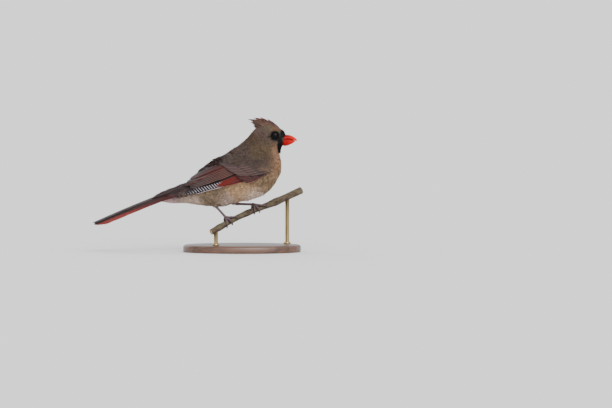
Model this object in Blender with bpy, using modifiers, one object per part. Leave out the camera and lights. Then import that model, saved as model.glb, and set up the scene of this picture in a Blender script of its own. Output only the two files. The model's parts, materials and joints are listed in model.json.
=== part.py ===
"""A female northern cardinal at life size, gripping a cut length of branch on a small display stand.

Metres, +Z up. The bird faces +X, its left side is +Y, and the origin is the centre of the base's underside.
"""

import math
import random

import bmesh
import bpy
from mathutils import Vector

MM = 0.001
GAP = 0.3
VANE_THICKNESS = 0.5
SHAFT_RIDGE = 0.15
UP = Vector((0.0, 0.0, 1.0))

# Sections of the feathered body from the face to the undertail, in millimetres:
# top x, top z, bottom x, bottom z, half width.
BODY_SECTIONS = (
    (41.6, 111.6, 38.2, 101.9, 4.4),
    (40.2, 114.9, 36.9, 99.2, 6.7),
    (36.6, 117.6, 36.1, 96.5, 8.7),
    (31.3, 120.2, 36.0, 94.2, 10.2),
    (24.8, 121.7, 36.5, 91.8, 11.2),
    (17.4, 120.8, 37.2, 89.2, 11.9),
    (11.0, 116.4, 37.8, 86.0, 12.8),
    (4.8, 109.6, 38.1, 82.0, 14.4),
    (-2.2, 103.4, 37.9, 77.6, 16.6),
    (-10.5, 97.9, 36.1, 72.4, 18.9),
    (-19.0, 91.4, 32.0, 64.8, 20.6),
    (-27.0, 85.0, 24.5, 56.2, 21.4),
    (-35.0, 78.6, 12.0, 50.0, 21.0),
    (-43.0, 72.6, -3.0, 46.6, 19.2),
    (-50.5, 67.6, -19.5, 42.6, 16.4),
    (-57.5, 64.0, -36.0, 43.6, 12.7),
    (-63.5, 61.2, -52.0, 45.9, 9.6),
    (-68.5, 58.7, -64.0, 46.1, 7.4),
    (-73.5, 55.2, -72.5, 47.1, 5.4),
    (-80.5, 51.4, -80.0, 48.0, 2.6),
)
BODY_SIDES = 24
BODY_POWER = 2.15
RINGS_PER_SECTION = 2

# Cuts that part the body, each a line in the side view from its top to its bottom.
HEAD_CUT = ((11.0, 116.4), (36.8, 90.2))
NECK_CUT = ((-1.0, 104.4), (38.0, 79.0))
RUMP_CUT = ((-48.5, 69.0), (-36.0, 43.4))

EYE_CENTRE = (31.3, 7.3, 110.9)
EYE_RADIUS = 3.7
LID_REACH = 2.3
LID_RING = 3.15
LID_THICKNESS = 0.6
LID_STEPS = 16
LID_SIDES = 5

# The two halves of the bill: top x, top z, bottom x, bottom z, half width.
UPPER_BILL = (
    (38.2, 110.3, 37.4, 106.7, 4.3),
    (41.0, 111.3, 39.4, 107.0, 4.7),
    (43.4, 111.4, 42.0, 107.5, 4.3),
    (46.2, 110.8, 44.8, 107.6, 3.4),
    (48.6, 109.5, 47.6, 107.1, 2.3),
    (50.5, 107.9, 49.8, 106.5, 1.1),
    (51.4, 106.7, 51.1, 106.1, 0.4),
)
LOWER_BILL = (
    (37.2, 106.3, 37.6, 102.8, 4.2),
    (39.5, 106.6, 39.8, 101.4, 4.5),
    (42.1, 107.1, 42.6, 101.8, 4.0),
    (44.8, 107.2, 45.2, 102.8, 3.0),
    (47.3, 106.7, 47.6, 103.9, 1.9),
    (49.3, 106.1, 49.4, 105.0, 0.7),
)
BILL_SIDES = 10
NOSTRIL = (41.6, 3.9, 109.9)
NOSTRIL_RADIUS = 0.6

# Crest feathers in rows from the forehead back, each row a tent over the next:
# root x, root z, tip x, tip z, how many, radius of the tent at the roots and at the tips.
CREST_ROWS = (
    (36.0, 116.6, 22.5, 124.9, 5, 2.8, 2.1),
    (32.0, 118.1, 14.0, 126.5, 5, 3.5, 1.9),
    (27.5, 119.2, 6.0, 126.5, 5, 3.8, 1.2),
    (22.5, 119.5, 7.8, 123.9, 4, 3.8, 1.6),
    (17.5, 118.5, 9.6, 120.9, 3, 3.4, 1.9),
)
CREST_HALF_WIDTH = 1.35
CREST_STATIONS = (0.0, 0.4, 0.8, 1.0)
CREST_WIDTHS = (0.75, 1.0, 0.75, 0.14)
CREST_BOW = 1.0
CREST_FOLD = 68.0
CREST_SIDE_SHORT = 0.12
CREST_UNEVEN = 0.05
CREST_SEED = 4

# The arm of the folded wing in the side view, from the wrist back to where only feathers go on.
WING_ARM = (
    (24.5, 82.5, 27.0, 76.5),
    (17.0, 86.5, 20.5, 74.0),
    (9.0, 88.6, 11.0, 70.3),
    (0.0, 89.2, 2.0, 67.2),
    (-9.0, 88.4, -7.0, 65.4),
    (-16.0, 86.5, -15.0, 65.0),
)
WING_ACROSS = 7
WING_ROOM = 0.5
WING_RISE = 0.7
WING_THICKNESS = (1.4, 2.5, 2.7, 2.6, 2.2, 1.2)
WING_EDGE = 0.8
WING_INNER_GAP = 1.1

# Rows of wing feathers, each from its lowest feather to its highest in the side view:
# roots and tips of the first and the last, half width, tilt across and lift at root and tip.
WING_ROWS = {
    "primaries": {
        "count": 9,
        "roots": ((7.0, 69.6), (2.0, 79.0)),
        "tips": ((-57.0, 53.3), (-51.0, 60.2)),
        "reach": (0.80, 0.91, 0.98, 1.0, 0.985, 0.96, 0.93, 0.91, 0.90),
        "half_width": 1.5,
        "tilt": (0.25, 0.72),
        "lift": (0.95, 1.6),
        "bow": -1.7,
    },
    "secondaries": {
        "count": 6,
        "roots": ((1.0, 81.0), (-3.5, 86.4)),
        "tips": ((-49.0, 61.9), (-51.5, 65.9)),
        "reach": (1.0,) * 6,
        "half_width": 1.8,
        "tilt": (0.2, 0.62),
        "lift": (1.0, 1.85),
        "bow": -0.3,
    },
    "tertials": {
        "count": 3,
        "roots": ((-5.0, 87.0), (-9.0, 88.6)),
        "tips": ((-53.4, 62.6), (-45.5, 73.4)),
        "reach": (1.0, 0.97, 0.92),
        "half_width": 3.1,
        "tilt": (0.1, 0.34),
        "lift": (1.1, 1.9),
        "bow": 1.2,
    },
    "primary_coverts": {
        "count": 4,
        "roots": ((14.0, 71.8), (9.5, 76.4)),
        "tips": ((-3.0, 66.4), (-9.0, 74.2)),
        "reach": (0.88, 0.96, 1.0, 0.98),
        "half_width": 1.5,
        "tilt": (0.15, 0.4),
        "lift": (1.5, 3.1),
        "bow": -0.5,
    },
    "greater_coverts": {
        "count": 7,
        "roots": ((17.0, 75.4), (0.5, 87.2)),
        "tips": ((-5.5, 73.0), (-19.5, 84.4)),
        "reach": (0.92, 0.98, 1.0, 1.0, 1.0, 1.0, 1.0),
        "half_width": 2.1,
        "tilt": (0.15, 0.36),
        "lift": (1.7, 3.7),
        "bow": 0.4,
    },
    "median_coverts": {
        "count": 5,
        "roots": ((22.0, 77.4), (7.0, 87.8)),
        "tips": ((9.5, 75.0), (-5.0, 87.2)),
        "reach": (1.0,) * 5,
        "half_width": 2.5,
        "tilt": (0.1, 0.2),
        "lift": (1.6, 3.5),
        "bow": 0.4,
    },
    "alula": {
        "count": 3,
        "roots": ((21.5, 75.4), (19.0, 76.6)),
        "tips": ((6.5, 69.9), (5.5, 72.0)),
        "reach": (0.8, 0.92, 1.0),
        "half_width": 1.2,
        "tilt": (0.15, 0.35),
        "lift": (1.3, 3.0),
        "bow": -0.4,
    },
}
RIDGED_HALF_WIDTH = 2.2
VANE_STATIONS = (0.0, 0.42, 0.87, 1.0)
VANE_WIDTHS = (0.6, 1.0, 0.82, 0.14)
COVERT_STATIONS = (0.0, 0.45, 0.82, 1.0)
COVERT_WIDTHS = (0.6, 1.0, 0.85, 0.2)

# The folded tail: a stack of feathers bent to a roof, whose edges lie TAIL_ROOF below its ridge.
TAIL_ROOT = Vector((-54.0, 0.0, 60.05))
TAIL_TIP = Vector((-140.6, 0.0, 25.9))
TAIL_ROOT_HALF = 8.4
TAIL_TIP_HALF = 12.7
TAIL_WIDENING = 1.25
TAIL_ROOF = 3.5
TAIL_RIDGE = 3.0
TAIL_STACK = 2.6
TAIL_BLOCK = (0.0, 0.03)
TAIL_ROOM = (-0.01, 0.12, 0.24, 0.36)
TAIL_ROOM_GAP = 0.38
TAIL_BLOCK_SIDES = 8
TAIL_REACH = (1.0, 0.995, 0.985, 0.97, 0.945, 0.91)
TAIL_INNER_PAIR = 7.2
TAIL_OVERLAP = 4.2
TAIL_CLEAR = 0.35
SHAFT_SHARE = 0.62
LAYER_DEPTH = 0.35
RECTRIX_ROOT = 0.01
RECTRIX_STATIONS = (0.0, 0.8, 0.94, 0.985, 1.0)
RECTRIX_WIDTHS = (1.0, 1.0, 0.85, 0.6, 0.15)

# Axis of the branch: x, y, z and radius.
PERCH_LINE = (
    (-29.0, -16.4, 19.6, 2.9),
    (-20.0, -11.8, 24.6, 2.8),
    (-8.4, -5.6, 30.9, 2.75),
    (4.2, 1.0, 36.6, 2.75),
    (14.0, 6.2, 40.4, 2.8),
    (28.6, 13.9, 45.6, 3.0),
    (42.8, 21.4, 51.6, 3.3),
    (56.0, 28.4, 57.4, 3.5),
)
PERCH_SIDES = 12
PERCH_RINGS = 3
PERCH_KNOTS = ((0.9, 0.5), (3.1, 0.45), (5.2, 0.7))
KNOT_REACH = 0.35
PERCH_SPACING = 13.0

LEGS = {
    "left": {
        "hip": (-10.0, 8.4, 57.0),
        "heel": (-5.7, 8.2, 45.4),
        "perch_place": 3.85,
        "thigh_radii": (6.0, 5.0, 3.7, 2.9),
    },
    "right": {
        "hip": (-28.0, -9.0, 54.0),
        "heel": (-24.4, -8.6, 43.4),
        "perch_place": 1.6,
        "thigh_radii": (6.0, 4.6, 2.6, 2.0),
    },
}
HEEL_ROOM = 0.42
TARSUS_RADII = (1.55, 1.15, 1.1, 1.25)
HEEL_REACH = 0.9
ANKLE_RISE = 2.4
ANKLE_STUB = 2.2
ANKLE_SUNK = 1.2
ANKLE_RADII = (1.5, 1.75, 1.25)
LEG_SIDES = 10

# Toes: turn round the perch in degrees, positive to the near side, and drift along it.
TOES = {
    "left": {
        "inner": {"turn": 100.0, "drift": -3.2, "radius": 0.95},
        "middle": {"turn": 118.0, "drift": 2.6, "radius": 1.05},
        "outer": {"turn": 80.0, "drift": 8.6, "radius": 0.95},
        "hind": {"turn": -112.0, "drift": -0.8, "radius": 1.1},
    },
    "right": {
        "inner": {"turn": 62.0, "drift": 7.4, "radius": 0.95},
        "middle": {"turn": 122.0, "drift": 2.0, "radius": 1.05},
        "outer": {"turn": 104.0, "drift": -3.6, "radius": 0.95},
        "hind": {"turn": -112.0, "drift": -1.0, "radius": 1.1},
    },
}
TOE_STATIONS = 7
TOE_SIDES = 7
TOE_CLEAR = 0.4
TOE_TAPER = (1.12, 0.82)
TOE_PADS = 3
TOE_PAD_SWELL = 0.12
CLAW_START = 11.0
CLAW_TURN = 62.0
CLAW_RADIUS = 0.75
CLAW_TIP = 0.16
CLAW_ARCH = 0.5
CLAW_STATIONS = 5
CLAW_SIDES = 6

BASE_LENGTH = 112.0
BASE_WIDTH = 78.0
BASE_HEIGHT = 7.0
BASE_BEVEL = 1.6
BASE_SEGMENTS = 44
ROD_RADIUS = 2.0
ROD_SIDES = 20
ROD_PLACES = {"rear": 0.5, "front": 6.0}

COLOURS = {
    "head": (0.16, 0.10, 0.07),
    "neck": (0.15, 0.10, 0.07),
    "torso": (0.28, 0.19, 0.12),
    "rump": (0.24, 0.18, 0.13),
    "eye": (0.01, 0.008, 0.008),
    "bill": (0.60, 0.06, 0.03),
    "wing": (0.16, 0.07, 0.055),
    "tail": (0.17, 0.05, 0.04),
    "leg": (0.20, 0.10, 0.10),
    "claw": (0.03, 0.025, 0.025),
    "perch": (0.16, 0.11, 0.065),
    "stand": (0.10, 0.05, 0.03),
    "rod": (0.45, 0.40, 0.30),
}


def mixed(a, b, share):
    return a + (b - a) * share


def read_rows(rows, place):
    """The row at a fractional place, on a smooth curve through all the rows."""
    last = len(rows) - 1
    start = max(0, min(int(place), last - 1))
    f = place - start
    b = rows[start]
    c = rows[start + 1]
    a = rows[start - 1] if start else [2 * p - q for p, q in zip(b, c)]
    d = rows[start + 2] if start + 2 <= last else [2 * q - p for p, q in zip(b, c)]
    return [
        0.5 * (2 * q + (r - p) * f + (2 * p - 5 * q + 4 * r - s) * f**2 + (3 * q - p - 3 * r + s) * f**3)
        for p, q, r, s in zip(a, b, c, d)
    ]


def soft_power(value, power):
    return math.copysign(abs(value) ** (2 / power), value)


def oval(row, sides, power=2.0, grow=0.0):
    """A ring of points round a section that spans from its top to its bottom in the side view."""
    top = Vector((row[0], 0.0, row[1]))
    bottom = Vector((row[2], 0.0, row[3]))
    rise = (top - bottom) / 2
    rise *= 1 + grow / rise.length
    across = Vector((0.0, row[4] + grow, 0.0))
    ring = []
    for k in range(sides):
        angle = 2 * math.pi * k / sides
        up = soft_power(math.cos(angle), power)
        out = soft_power(math.sin(angle), power)
        ring.append((top + bottom) / 2 + rise * up + across * out)
    return ring


def mesh_from_rings(name, rings):
    """A closed mesh through rings of equal counts, in millimetres, with its two ends filled."""
    shape = bmesh.new()
    made = [[shape.verts.new(point * MM) for point in ring] for ring in rings]
    count = len(made[0])
    for near, far in zip(made, made[1:]):
        for k in range(count):
            after = (k + 1) % count
            shape.faces.new((near[k], near[after], far[after], far[k]))
    shape.faces.new(made[0])
    shape.faces.new(made[-1])
    bmesh.ops.recalc_face_normals(shape, faces=shape.faces)
    mesh = bpy.data.meshes.new(name)
    shape.to_mesh(mesh)
    shape.free()
    return mesh


def tube_rings(points, radii, sides, grow=0.0):
    """Rings along a line of points, turned as little as the line allows."""
    rings = []
    side = None
    for k, point in enumerate(points):
        before = points[max(k - 1, 0)]
        after = points[min(k + 1, len(points) - 1)]
        along = (after - before).normalized()
        if side is None:
            side = along.cross(UP if abs(along.z) < 0.9 else Vector((1.0, 0.0, 0.0))).normalized()
        side = (side - along * side.dot(along)).normalized()
        other = along.cross(side)
        radius = radii[k] + grow
        ring = []
        for n in range(sides):
            angle = 2 * math.pi * n / sides
            ring.append(point + side * radius * math.cos(angle) + other * radius * math.sin(angle))
        rings.append(ring)
    return rings


def new_object(name, mesh, collection, colour=None, roughness=0.6):
    made = bpy.data.objects.new(name, mesh)
    collection.objects.link(made)
    if colour:
        material = bpy.data.materials.new(name)
        material.use_nodes = True
        shader = material.node_tree.nodes["Principled BSDF"]
        shader.inputs["Base Color"].default_value = (*colour, 1.0)
        shader.inputs["Roughness"].default_value = roughness
        mesh.materials.clear()
        mesh.materials.append(material)
    for face in mesh.polygons:
        face.use_smooth = True
    return made


def evaluated_mesh(source):
    bpy.context.view_layer.update()
    graph = bpy.context.evaluated_depsgraph_get()
    return bpy.data.meshes.new_from_object(source.evaluated_get(graph))


def cut_away(node, cutter):
    """Cuts the shape of a helper out of a node. The helper stays in the cutters' collection."""
    cutter.hide_render = True
    cutter.display_type = "WIRE"
    modifier = node.modifiers.new(cutter.name, "BOOLEAN")
    modifier.operation = "DIFFERENCE"
    modifier.solver = "EXACT"
    modifier.object = cutter


def parted(mesh, line, keep_front):
    """The part of a closed mesh in front of or behind a flat cut, half a gap back from it."""
    top = Vector((line[0][0], 0.0, line[0][1]))
    bottom = Vector((line[1][0], 0.0, line[1][1]))
    forward = (top - bottom).cross(Vector((0.0, 1.0, 0.0))).normalized()
    if forward.x < 0:
        forward = -forward
    if not keep_front:
        forward = -forward
    shape = bmesh.new()
    shape.from_mesh(mesh)
    cut = bmesh.ops.bisect_plane(
        shape,
        geom=shape.verts[:] + shape.edges[:] + shape.faces[:],
        dist=1e-7,
        plane_co=(bottom + forward * GAP / 2) * MM,
        plane_no=-forward,
        clear_outer=True,
    )
    rim = [item for item in cut["geom_cut"] if isinstance(item, bmesh.types.BMEdge)]
    bmesh.ops.contextual_create(shape, geom=rim)
    bmesh.ops.recalc_face_normals(shape, faces=shape.faces)
    shape.to_mesh(mesh)
    shape.free()
    return mesh


def body_mesh(name, first, last):
    """The feathered body between two of its sections."""
    steps = (last - first) * RINGS_PER_SECTION
    rings = []
    for k in range(steps + 1):
        row = read_rows(BODY_SECTIONS, first + k / RINGS_PER_SECTION)
        rings.append(oval(row, BODY_SIDES, BODY_POWER))
    return mesh_from_rings(name, rings)


def mirrored(point, side):
    return Vector((point[0], point[1] * side, point[2]))


def ball_mesh(name, centre, radius, segments=16, rings=8):
    shape = bmesh.new()
    bmesh.ops.create_uvsphere(shape, u_segments=segments, v_segments=rings, radius=radius * MM)
    bmesh.ops.translate(shape, verts=shape.verts, vec=centre * MM)
    mesh = bpy.data.meshes.new(name)
    shape.to_mesh(mesh)
    shape.free()
    return mesh


def lid_mesh(name, centre, side):
    """The rim of the two eyelids, a ring round the eye that faces sideways."""
    rings = []
    for k in range(LID_STEPS):
        angle = 2 * math.pi * k / LID_STEPS
        spoke = Vector((math.cos(angle), 0.0, math.sin(angle)))
        ring = []
        for n in range(LID_SIDES):
            turn = 2 * math.pi * n / LID_SIDES
            reach = LID_RING + LID_THICKNESS * math.cos(turn)
            out = side * (LID_REACH + LID_THICKNESS * math.sin(turn))
            ring.append(centre + spoke * reach + Vector((0.0, out, 0.0)))
        rings.append(ring)
    shape = bmesh.new()
    made = [[shape.verts.new(point * MM) for point in ring] for ring in rings]
    for k in range(LID_STEPS):
        near = made[k]
        far = made[(k + 1) % LID_STEPS]
        for n in range(LID_SIDES):
            after = (n + 1) % LID_SIDES
            shape.faces.new((near[n], near[after], far[after], far[n]))
    bmesh.ops.recalc_face_normals(shape, faces=shape.faces)
    mesh = bpy.data.meshes.new(name)
    shape.to_mesh(mesh)
    shape.free()
    return mesh


def largest_piece(mesh):
    """Keeps only the biggest closed surface of a joined mesh."""
    shape = bmesh.new()
    shape.from_mesh(mesh)
    left = set(shape.verts)
    pieces = []
    while left:
        stack = [left.pop()]
        piece = set(stack)
        while stack:
            for edge in stack.pop().link_edges:
                for vert in edge.verts:
                    if vert not in piece:
                        piece.add(vert)
                        left.discard(vert)
                        stack.append(vert)
        pieces.append(piece)
    pieces.sort(key=len)
    for piece in pieces[:-1]:
        bmesh.ops.delete(shape, geom=list(piece), context="VERTS")
    shape.to_mesh(mesh)
    shape.free()


def join_all(name, core, pieces, solver="MANIFOLD"):
    """One closed mesh from a core and the closed meshes rooted in it."""
    helpers = bpy.data.collections.new(name + " pieces")
    bpy.context.scene.collection.children.link(helpers)
    host = new_object(name + " host", core, helpers)
    for k, mesh in enumerate(pieces):
        new_object(f"{name} piece {k}", mesh, helpers)
    helpers.objects.unlink(host)
    bpy.context.scene.collection.objects.link(host)
    modifier = host.modifiers.new("join", "BOOLEAN")
    modifier.operation = "UNION"
    modifier.operand_type = "COLLECTION"
    modifier.solver = solver
    modifier.collection = helpers
    joined = evaluated_mesh(host)
    for helper in list(helpers.objects) + [host]:
        bpy.data.objects.remove(helper, do_unlink=True)
    bpy.data.collections.remove(helpers)
    joined.name = name
    largest_piece(joined)
    return joined


def bill_ring(row, upper, grow):
    """A section of one half of the bill: an arch over the flat face where the halves close."""
    top = Vector((row[0], 0.0, row[1]))
    bottom = Vector((row[2], 0.0, row[3]))
    crown, flat = (top, bottom) if upper else (bottom, top)
    rise = (crown - flat).normalized()
    crown = crown + rise * grow
    flat = flat - rise * grow
    ring = []
    for k in range(BILL_SIDES + 1):
        angle = math.pi * (k / BILL_SIDES - 0.5)
        across = Vector((0.0, (row[4] + grow) * math.sin(angle), 0.0))
        ring.append(flat + (crown - flat) * math.cos(angle) ** 0.85 + across)
    return ring


def bill_mesh(name, rows, grow=0.0):
    rings = []
    steps = (len(rows) - 1) * 2
    for k in range(steps + 1):
        rings.append(bill_ring(read_rows(rows, k / 2), rows is UPPER_BILL, grow))
    return mesh_from_rings(name, rings)


def vane_mesh(name, stations):
    """A thin feather. Each station holds points across it, from its lower edge to its upper, with their normals.

    Both faces are split into triangles along the same diagonals, and a vane of three points across has a
    raised shaft.
    """
    shape = bmesh.new()
    columns = len(stations[0])
    half = VANE_THICKNESS / 2
    outer = []
    inner = []
    for station in stations:
        raised = []
        for n, (point, normal) in enumerate(station):
            shaft = 0 < n < columns - 1
            raised.append(shape.verts.new((point + normal * (half + SHAFT_RIDGE * shaft)) * MM))
        outer.append(raised)
        inner.append([shape.verts.new((point - normal * half) * MM) for point, normal in station])
    last = len(stations) - 1
    for k in range(last):
        for rows, flip in ((outer, False), (inner, True)):
            near, far = rows[k], rows[k + 1]
            for n in range(columns - 1):
                pair = ((near[n], near[n + 1], far[n + 1]), (near[n], far[n + 1], far[n]))
                for corners in pair:
                    shape.faces.new(corners[::-1] if flip else corners)
        for n in (0, columns - 1):
            shape.faces.new((outer[k][n], outer[k + 1][n], inner[k + 1][n], inner[k][n]))
    for k in (0, last):
        for n in range(columns - 1):
            shape.faces.new((outer[k][n], outer[k][n + 1], inner[k][n + 1], inner[k][n]))
    bmesh.ops.recalc_face_normals(shape, faces=shape.faces)
    bmesh.ops.triangulate(shape, faces=[face for face in shape.faces if len(face.verts) > 3])
    mesh = bpy.data.meshes.new(name)
    shape.to_mesh(mesh)
    shape.free()
    return mesh


def crest_vanes():
    """The crest, feather by feather: each row folds over the middle line and lies over the row behind it."""
    chance = random.Random(CREST_SEED)
    vanes = []
    for root_x, root_z, tip_x, tip_z, count, root_radius, tip_radius in CREST_ROWS:
        for k in range(count):
            fold = math.radians(CREST_FOLD * (2 * k / (count - 1) - 1))
            aside = Vector((0.0, math.sin(fold), math.cos(fold) - 1))
            reach = 1 - CREST_SIDE_SHORT * math.sin(fold) ** 2 - chance.uniform(0.0, CREST_UNEVEN)
            root = Vector((root_x, 0.0, root_z)) + aside * root_radius
            end = Vector((tip_x, 0.0, tip_z)) + aside * tip_radius
            tip = root.lerp(end, reach)
            along = (tip - root).normalized()
            out = Vector((0.0, math.sin(fold), math.cos(fold)))
            out = (out - along * out.dot(along)).normalized()
            across = along.cross(out)
            stations = []
            for share, width in zip(CREST_STATIONS, CREST_WIDTHS):
                centre = root.lerp(tip, share) + UP * CREST_BOW * 4 * share * (1 - share)
                side = across * CREST_HALF_WIDTH * width
                stations.append([(centre - side, out), (centre + side, out)])
            vanes.append(vane_mesh("crest feather", stations))
    return vanes


def wing_row(place):
    """The body's section that the wings lie over: raised along the back, and a little wider."""
    row = read_rows(BODY_SECTIONS, place)
    top = Vector((row[0], 0.0, row[1]))
    bottom = Vector((row[2], 0.0, row[3]))
    raised = top + (top - bottom).normalized() * WING_RISE
    return raised, bottom, row[4] + WING_ROOM


def wing_bed(x, z):
    """How far from the middle plane the inner face of a folded wing lies, at a point of the side view."""
    low, high = 5.0, len(BODY_SECTIONS) - 1.0
    point = Vector((x, 0.0, z))
    for _ in range(22):
        middle = (low + high) / 2
        top, bottom, _ = wing_row(middle)
        down = bottom - top
        reach = point - top
        if down.x * reach.z - down.z * reach.x > 0:
            high = middle
        else:
            low = middle
    top, bottom, half = wing_row(low)
    down = bottom - top
    share = (point - top).dot(down) / down.length_squared
    height = min(1.0, abs(2 * share - 1))
    bulge = (1 - height**BODY_POWER) ** (1 / BODY_POWER)
    return max(half * bulge, WING_INNER_GAP + 0.1 * half)


def wing_point(x, z, lift, side):
    """A point over the wing's bed, lifted square to it."""
    step = 1.0
    here = wing_bed(x, z)
    along = (wing_bed(x + step, z) - wing_bed(x - step, z)) / (2 * step)
    rise = (wing_bed(x, z + step) - wing_bed(x, z - step)) / (2 * step)
    square = Vector((-along, 1.0, -rise)).normalized()
    point = Vector((x, here, z)) + square * lift
    return Vector((point.x, point.y * side, point.z))


def wing_arm(name, side):
    """The fleshy arm of the wing with its small feathers, which the long ones are rooted in."""
    rings = []
    steps = (len(WING_ARM) - 1) * 2
    for k in range(steps + 1):
        top_x, top_z, low_x, low_z = read_rows(WING_ARM, k / 2)
        thickness = read_rows([(value,) for value in WING_THICKNESS], k / 2)[0]
        inner = []
        outer = []
        for n in range(WING_ACROSS + 1):
            share = n / WING_ACROSS
            x = mixed(top_x, low_x, share)
            z = mixed(top_z, low_z, share)
            crown = 1 - abs(2 * share - 1) ** 3
            inner.append(wing_point(x, z, 0.0, side))
            outer.append(wing_point(x, z, mixed(WING_EDGE, thickness, crown), side))
        rings.append(inner + outer[::-1])
    return mesh_from_rings(name, rings)


def wing_vane(name, side, root, tip, row, long):
    """One feather of the folded wing: a strip over the wing's bed, its lower edge lifted over its neighbour."""
    shares = VANE_STATIONS if long else COVERT_STATIONS
    widths = VANE_WIDTHS if long else COVERT_WIDTHS
    line = tip - root
    square = Vector((line.y, -line.x)).normalized()
    if square.y < 0:
        square = -square
    stations = []
    for share, width in zip(shares, widths):
        centre = root + line * share + square * row["bow"] * 4 * share * (1 - share)
        lift = mixed(*row["lift"], min(1.0, share * 2))
        tilt = mixed(*row["tilt"], min(1.0, share * 2))
        station = []
        for n in (-1, 0, 1) if row["half_width"] > RIDGED_HALF_WIDTH else (-1, 1):
            aside = n * row["half_width"] * width
            spot = centre + square * aside
            point = wing_point(spot.x, spot.y, lift - tilt * aside, side)
            above = wing_point(spot.x, spot.y, lift - tilt * aside + 1.0, side)
            station.append((point, (above - point).normalized()))
        stations.append(station)
    return vane_mesh(name, stations)


def wing_mesh(name, side):
    """A folded wing: its arm and its rows of feathers in one closed shape."""
    vanes = []
    for key, row in WING_ROWS.items():
        first_root, last_root = (Vector(place) for place in row["roots"])
        first_tip, last_tip = (Vector(place) for place in row["tips"])
        long = key in ("primaries", "secondaries", "tertials")
        for k in range(row["count"]):
            share = k / (row["count"] - 1)
            root = first_root.lerp(last_root, share)
            tip = first_tip.lerp(last_tip, share)
            tip = root.lerp(tip, row["reach"][k])
            vanes.append(wing_vane(key, side, root, tip, row, long))
    return join_all(name, wing_arm(name, side), vanes)


def tail_spread(share):
    """How wide the folded tail is at a share of its length, against its full width."""
    return mixed(TAIL_ROOT_HALF / TAIL_TIP_HALF, 1.0, min(1.0, max(0.0, share) * TAIL_WIDENING))


def tail_point(share, edge, drop):
    """A point of the folded tail: share of its length, distance from the middle at full width, depth in the stack."""
    along = TAIL_TIP - TAIL_ROOT
    down = Vector((along.z, 0.0, -along.x)).normalized()
    if down.z > 0:
        down = -down
    bend = math.hypot(1.0, TAIL_RIDGE * edge / TAIL_TIP_HALF) - 1.0
    roof = TAIL_ROOF * bend / (math.hypot(1.0, TAIL_RIDGE) - 1.0)
    across = Vector((0.0, edge * tail_spread(share), 0.0))
    return TAIL_ROOT + along * share + across + down * (drop + roof - (TAIL_STACK + TAIL_ROOF) / 2)


def tail_normal(share, edge):
    """The direction out of the roof of the folded tail."""
    across = tail_point(share, edge + 0.5, 0.0) - tail_point(share, edge - 0.5, 0.0)
    square = across.cross(TAIL_TIP - TAIL_ROOT).normalized()
    return square if square.z > 0 else -square


def tail_block(name, shares, grow=0.0):
    """The stack of the folded tail as one roof-shaped form between shares of its length."""
    half = TAIL_TIP_HALF + grow / tail_spread(0.0)
    rings = []
    for share in shares:
        edges = [half * (2 * n / TAIL_BLOCK_SIDES - 1) for n in range(TAIL_BLOCK_SIDES + 1)]
        top = [tail_point(share, edge, -grow) for edge in edges]
        bottom = [tail_point(share, edge, TAIL_STACK + grow) for edge in edges]
        rings.append(top + bottom[::-1])
    return mesh_from_rings(name, rings)


def tail_vane(name, side, pair, layer):
    """One tail feather, bent to the roof of the folded tail and lying a layer under the one inside it."""
    inner, outer = tail_edges(pair)
    middle = mixed(inner, outer, SHAFT_SHARE)
    depth = layer * LAYER_DEPTH + VANE_THICKNESS / 2
    stations = []
    for share, width in zip(RECTRIX_STATIONS, RECTRIX_WIDTHS):
        place = mixed(RECTRIX_ROOT, TAIL_REACH[pair], share)
        station = []
        for edge in (inner, middle, outer):
            across = side * (middle + (edge - middle) * width)
            station.append((tail_point(place, across, depth), tail_normal(place, across)))
        stations.append(station)
    return vane_mesh(name, stations)


def tail_edges(pair):
    """Inner and outer edge of a feather of the folded tail, from the middle, at full width."""
    outer = mixed(TAIL_INNER_PAIR, TAIL_TIP_HALF, pair / (len(TAIL_REACH) - 1))
    return (-TAIL_OVERLAP if pair == 0 else TAIL_CLEAR), outer


def tail_mesh(name):
    """The folded tail: six pairs of feathers, the middle pair on top, in one closed shape."""
    vanes = [tail_vane(name, -1, 0, 0)]
    for pair in range(len(TAIL_REACH)):
        for side in (-1, 1):
            if pair or side > 0:
                vanes.append(tail_vane(name, side, pair, pair + 1))
    return join_all(name, tail_block(name, TAIL_BLOCK), vanes)


def perch_at(place):
    x, y, z, radius = read_rows(PERCH_LINE, place)
    for knot, size in PERCH_KNOTS:
        radius += size * math.exp(-(((place - knot) / KNOT_REACH) ** 2))
    return Vector((x, y, z)), radius


def perch_mesh(name, grow=0.0):
    steps = (len(PERCH_LINE) - 1) * PERCH_RINGS
    points = []
    radii = []
    for k in range(steps + 1):
        point, radius = perch_at(k / PERCH_RINGS)
        points.append(point)
        radii.append(radius)
    if grow:
        points[0] = points[0] - (points[1] - points[0]).normalized() * grow
        points[-1] = points[-1] + (points[-1] - points[-2]).normalized() * grow
    return mesh_from_rings(name, tube_rings(points, radii, PERCH_SIDES, grow))


def perch_frame(place):
    """A point of the branch's axis, its radius, and the directions along it, up from it and to its near side."""
    point, radius = perch_at(place)
    ahead, _ = perch_at(min(place + 0.1, len(PERCH_LINE) - 1))
    along = (ahead - point).normalized()
    up = (UP - along * UP.dot(along)).normalized()
    near = up.cross(along)
    if near.y > 0:
        near = -near
    return point, radius, along, up, near


def over_perch(place, drift, turn, height):
    """A point at a height over the branch's bark, turned from its top towards the near side."""
    point, radius, _, up, near = perch_frame(place + drift / PERCH_SPACING)
    angle = math.radians(turn)
    return point + (up * math.cos(angle) + near * math.sin(angle)) * (radius + height)


def ankle_of(leg):
    return over_perch(leg["perch_place"], 0.0, 0.0, GAP + ANKLE_RISE)


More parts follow.
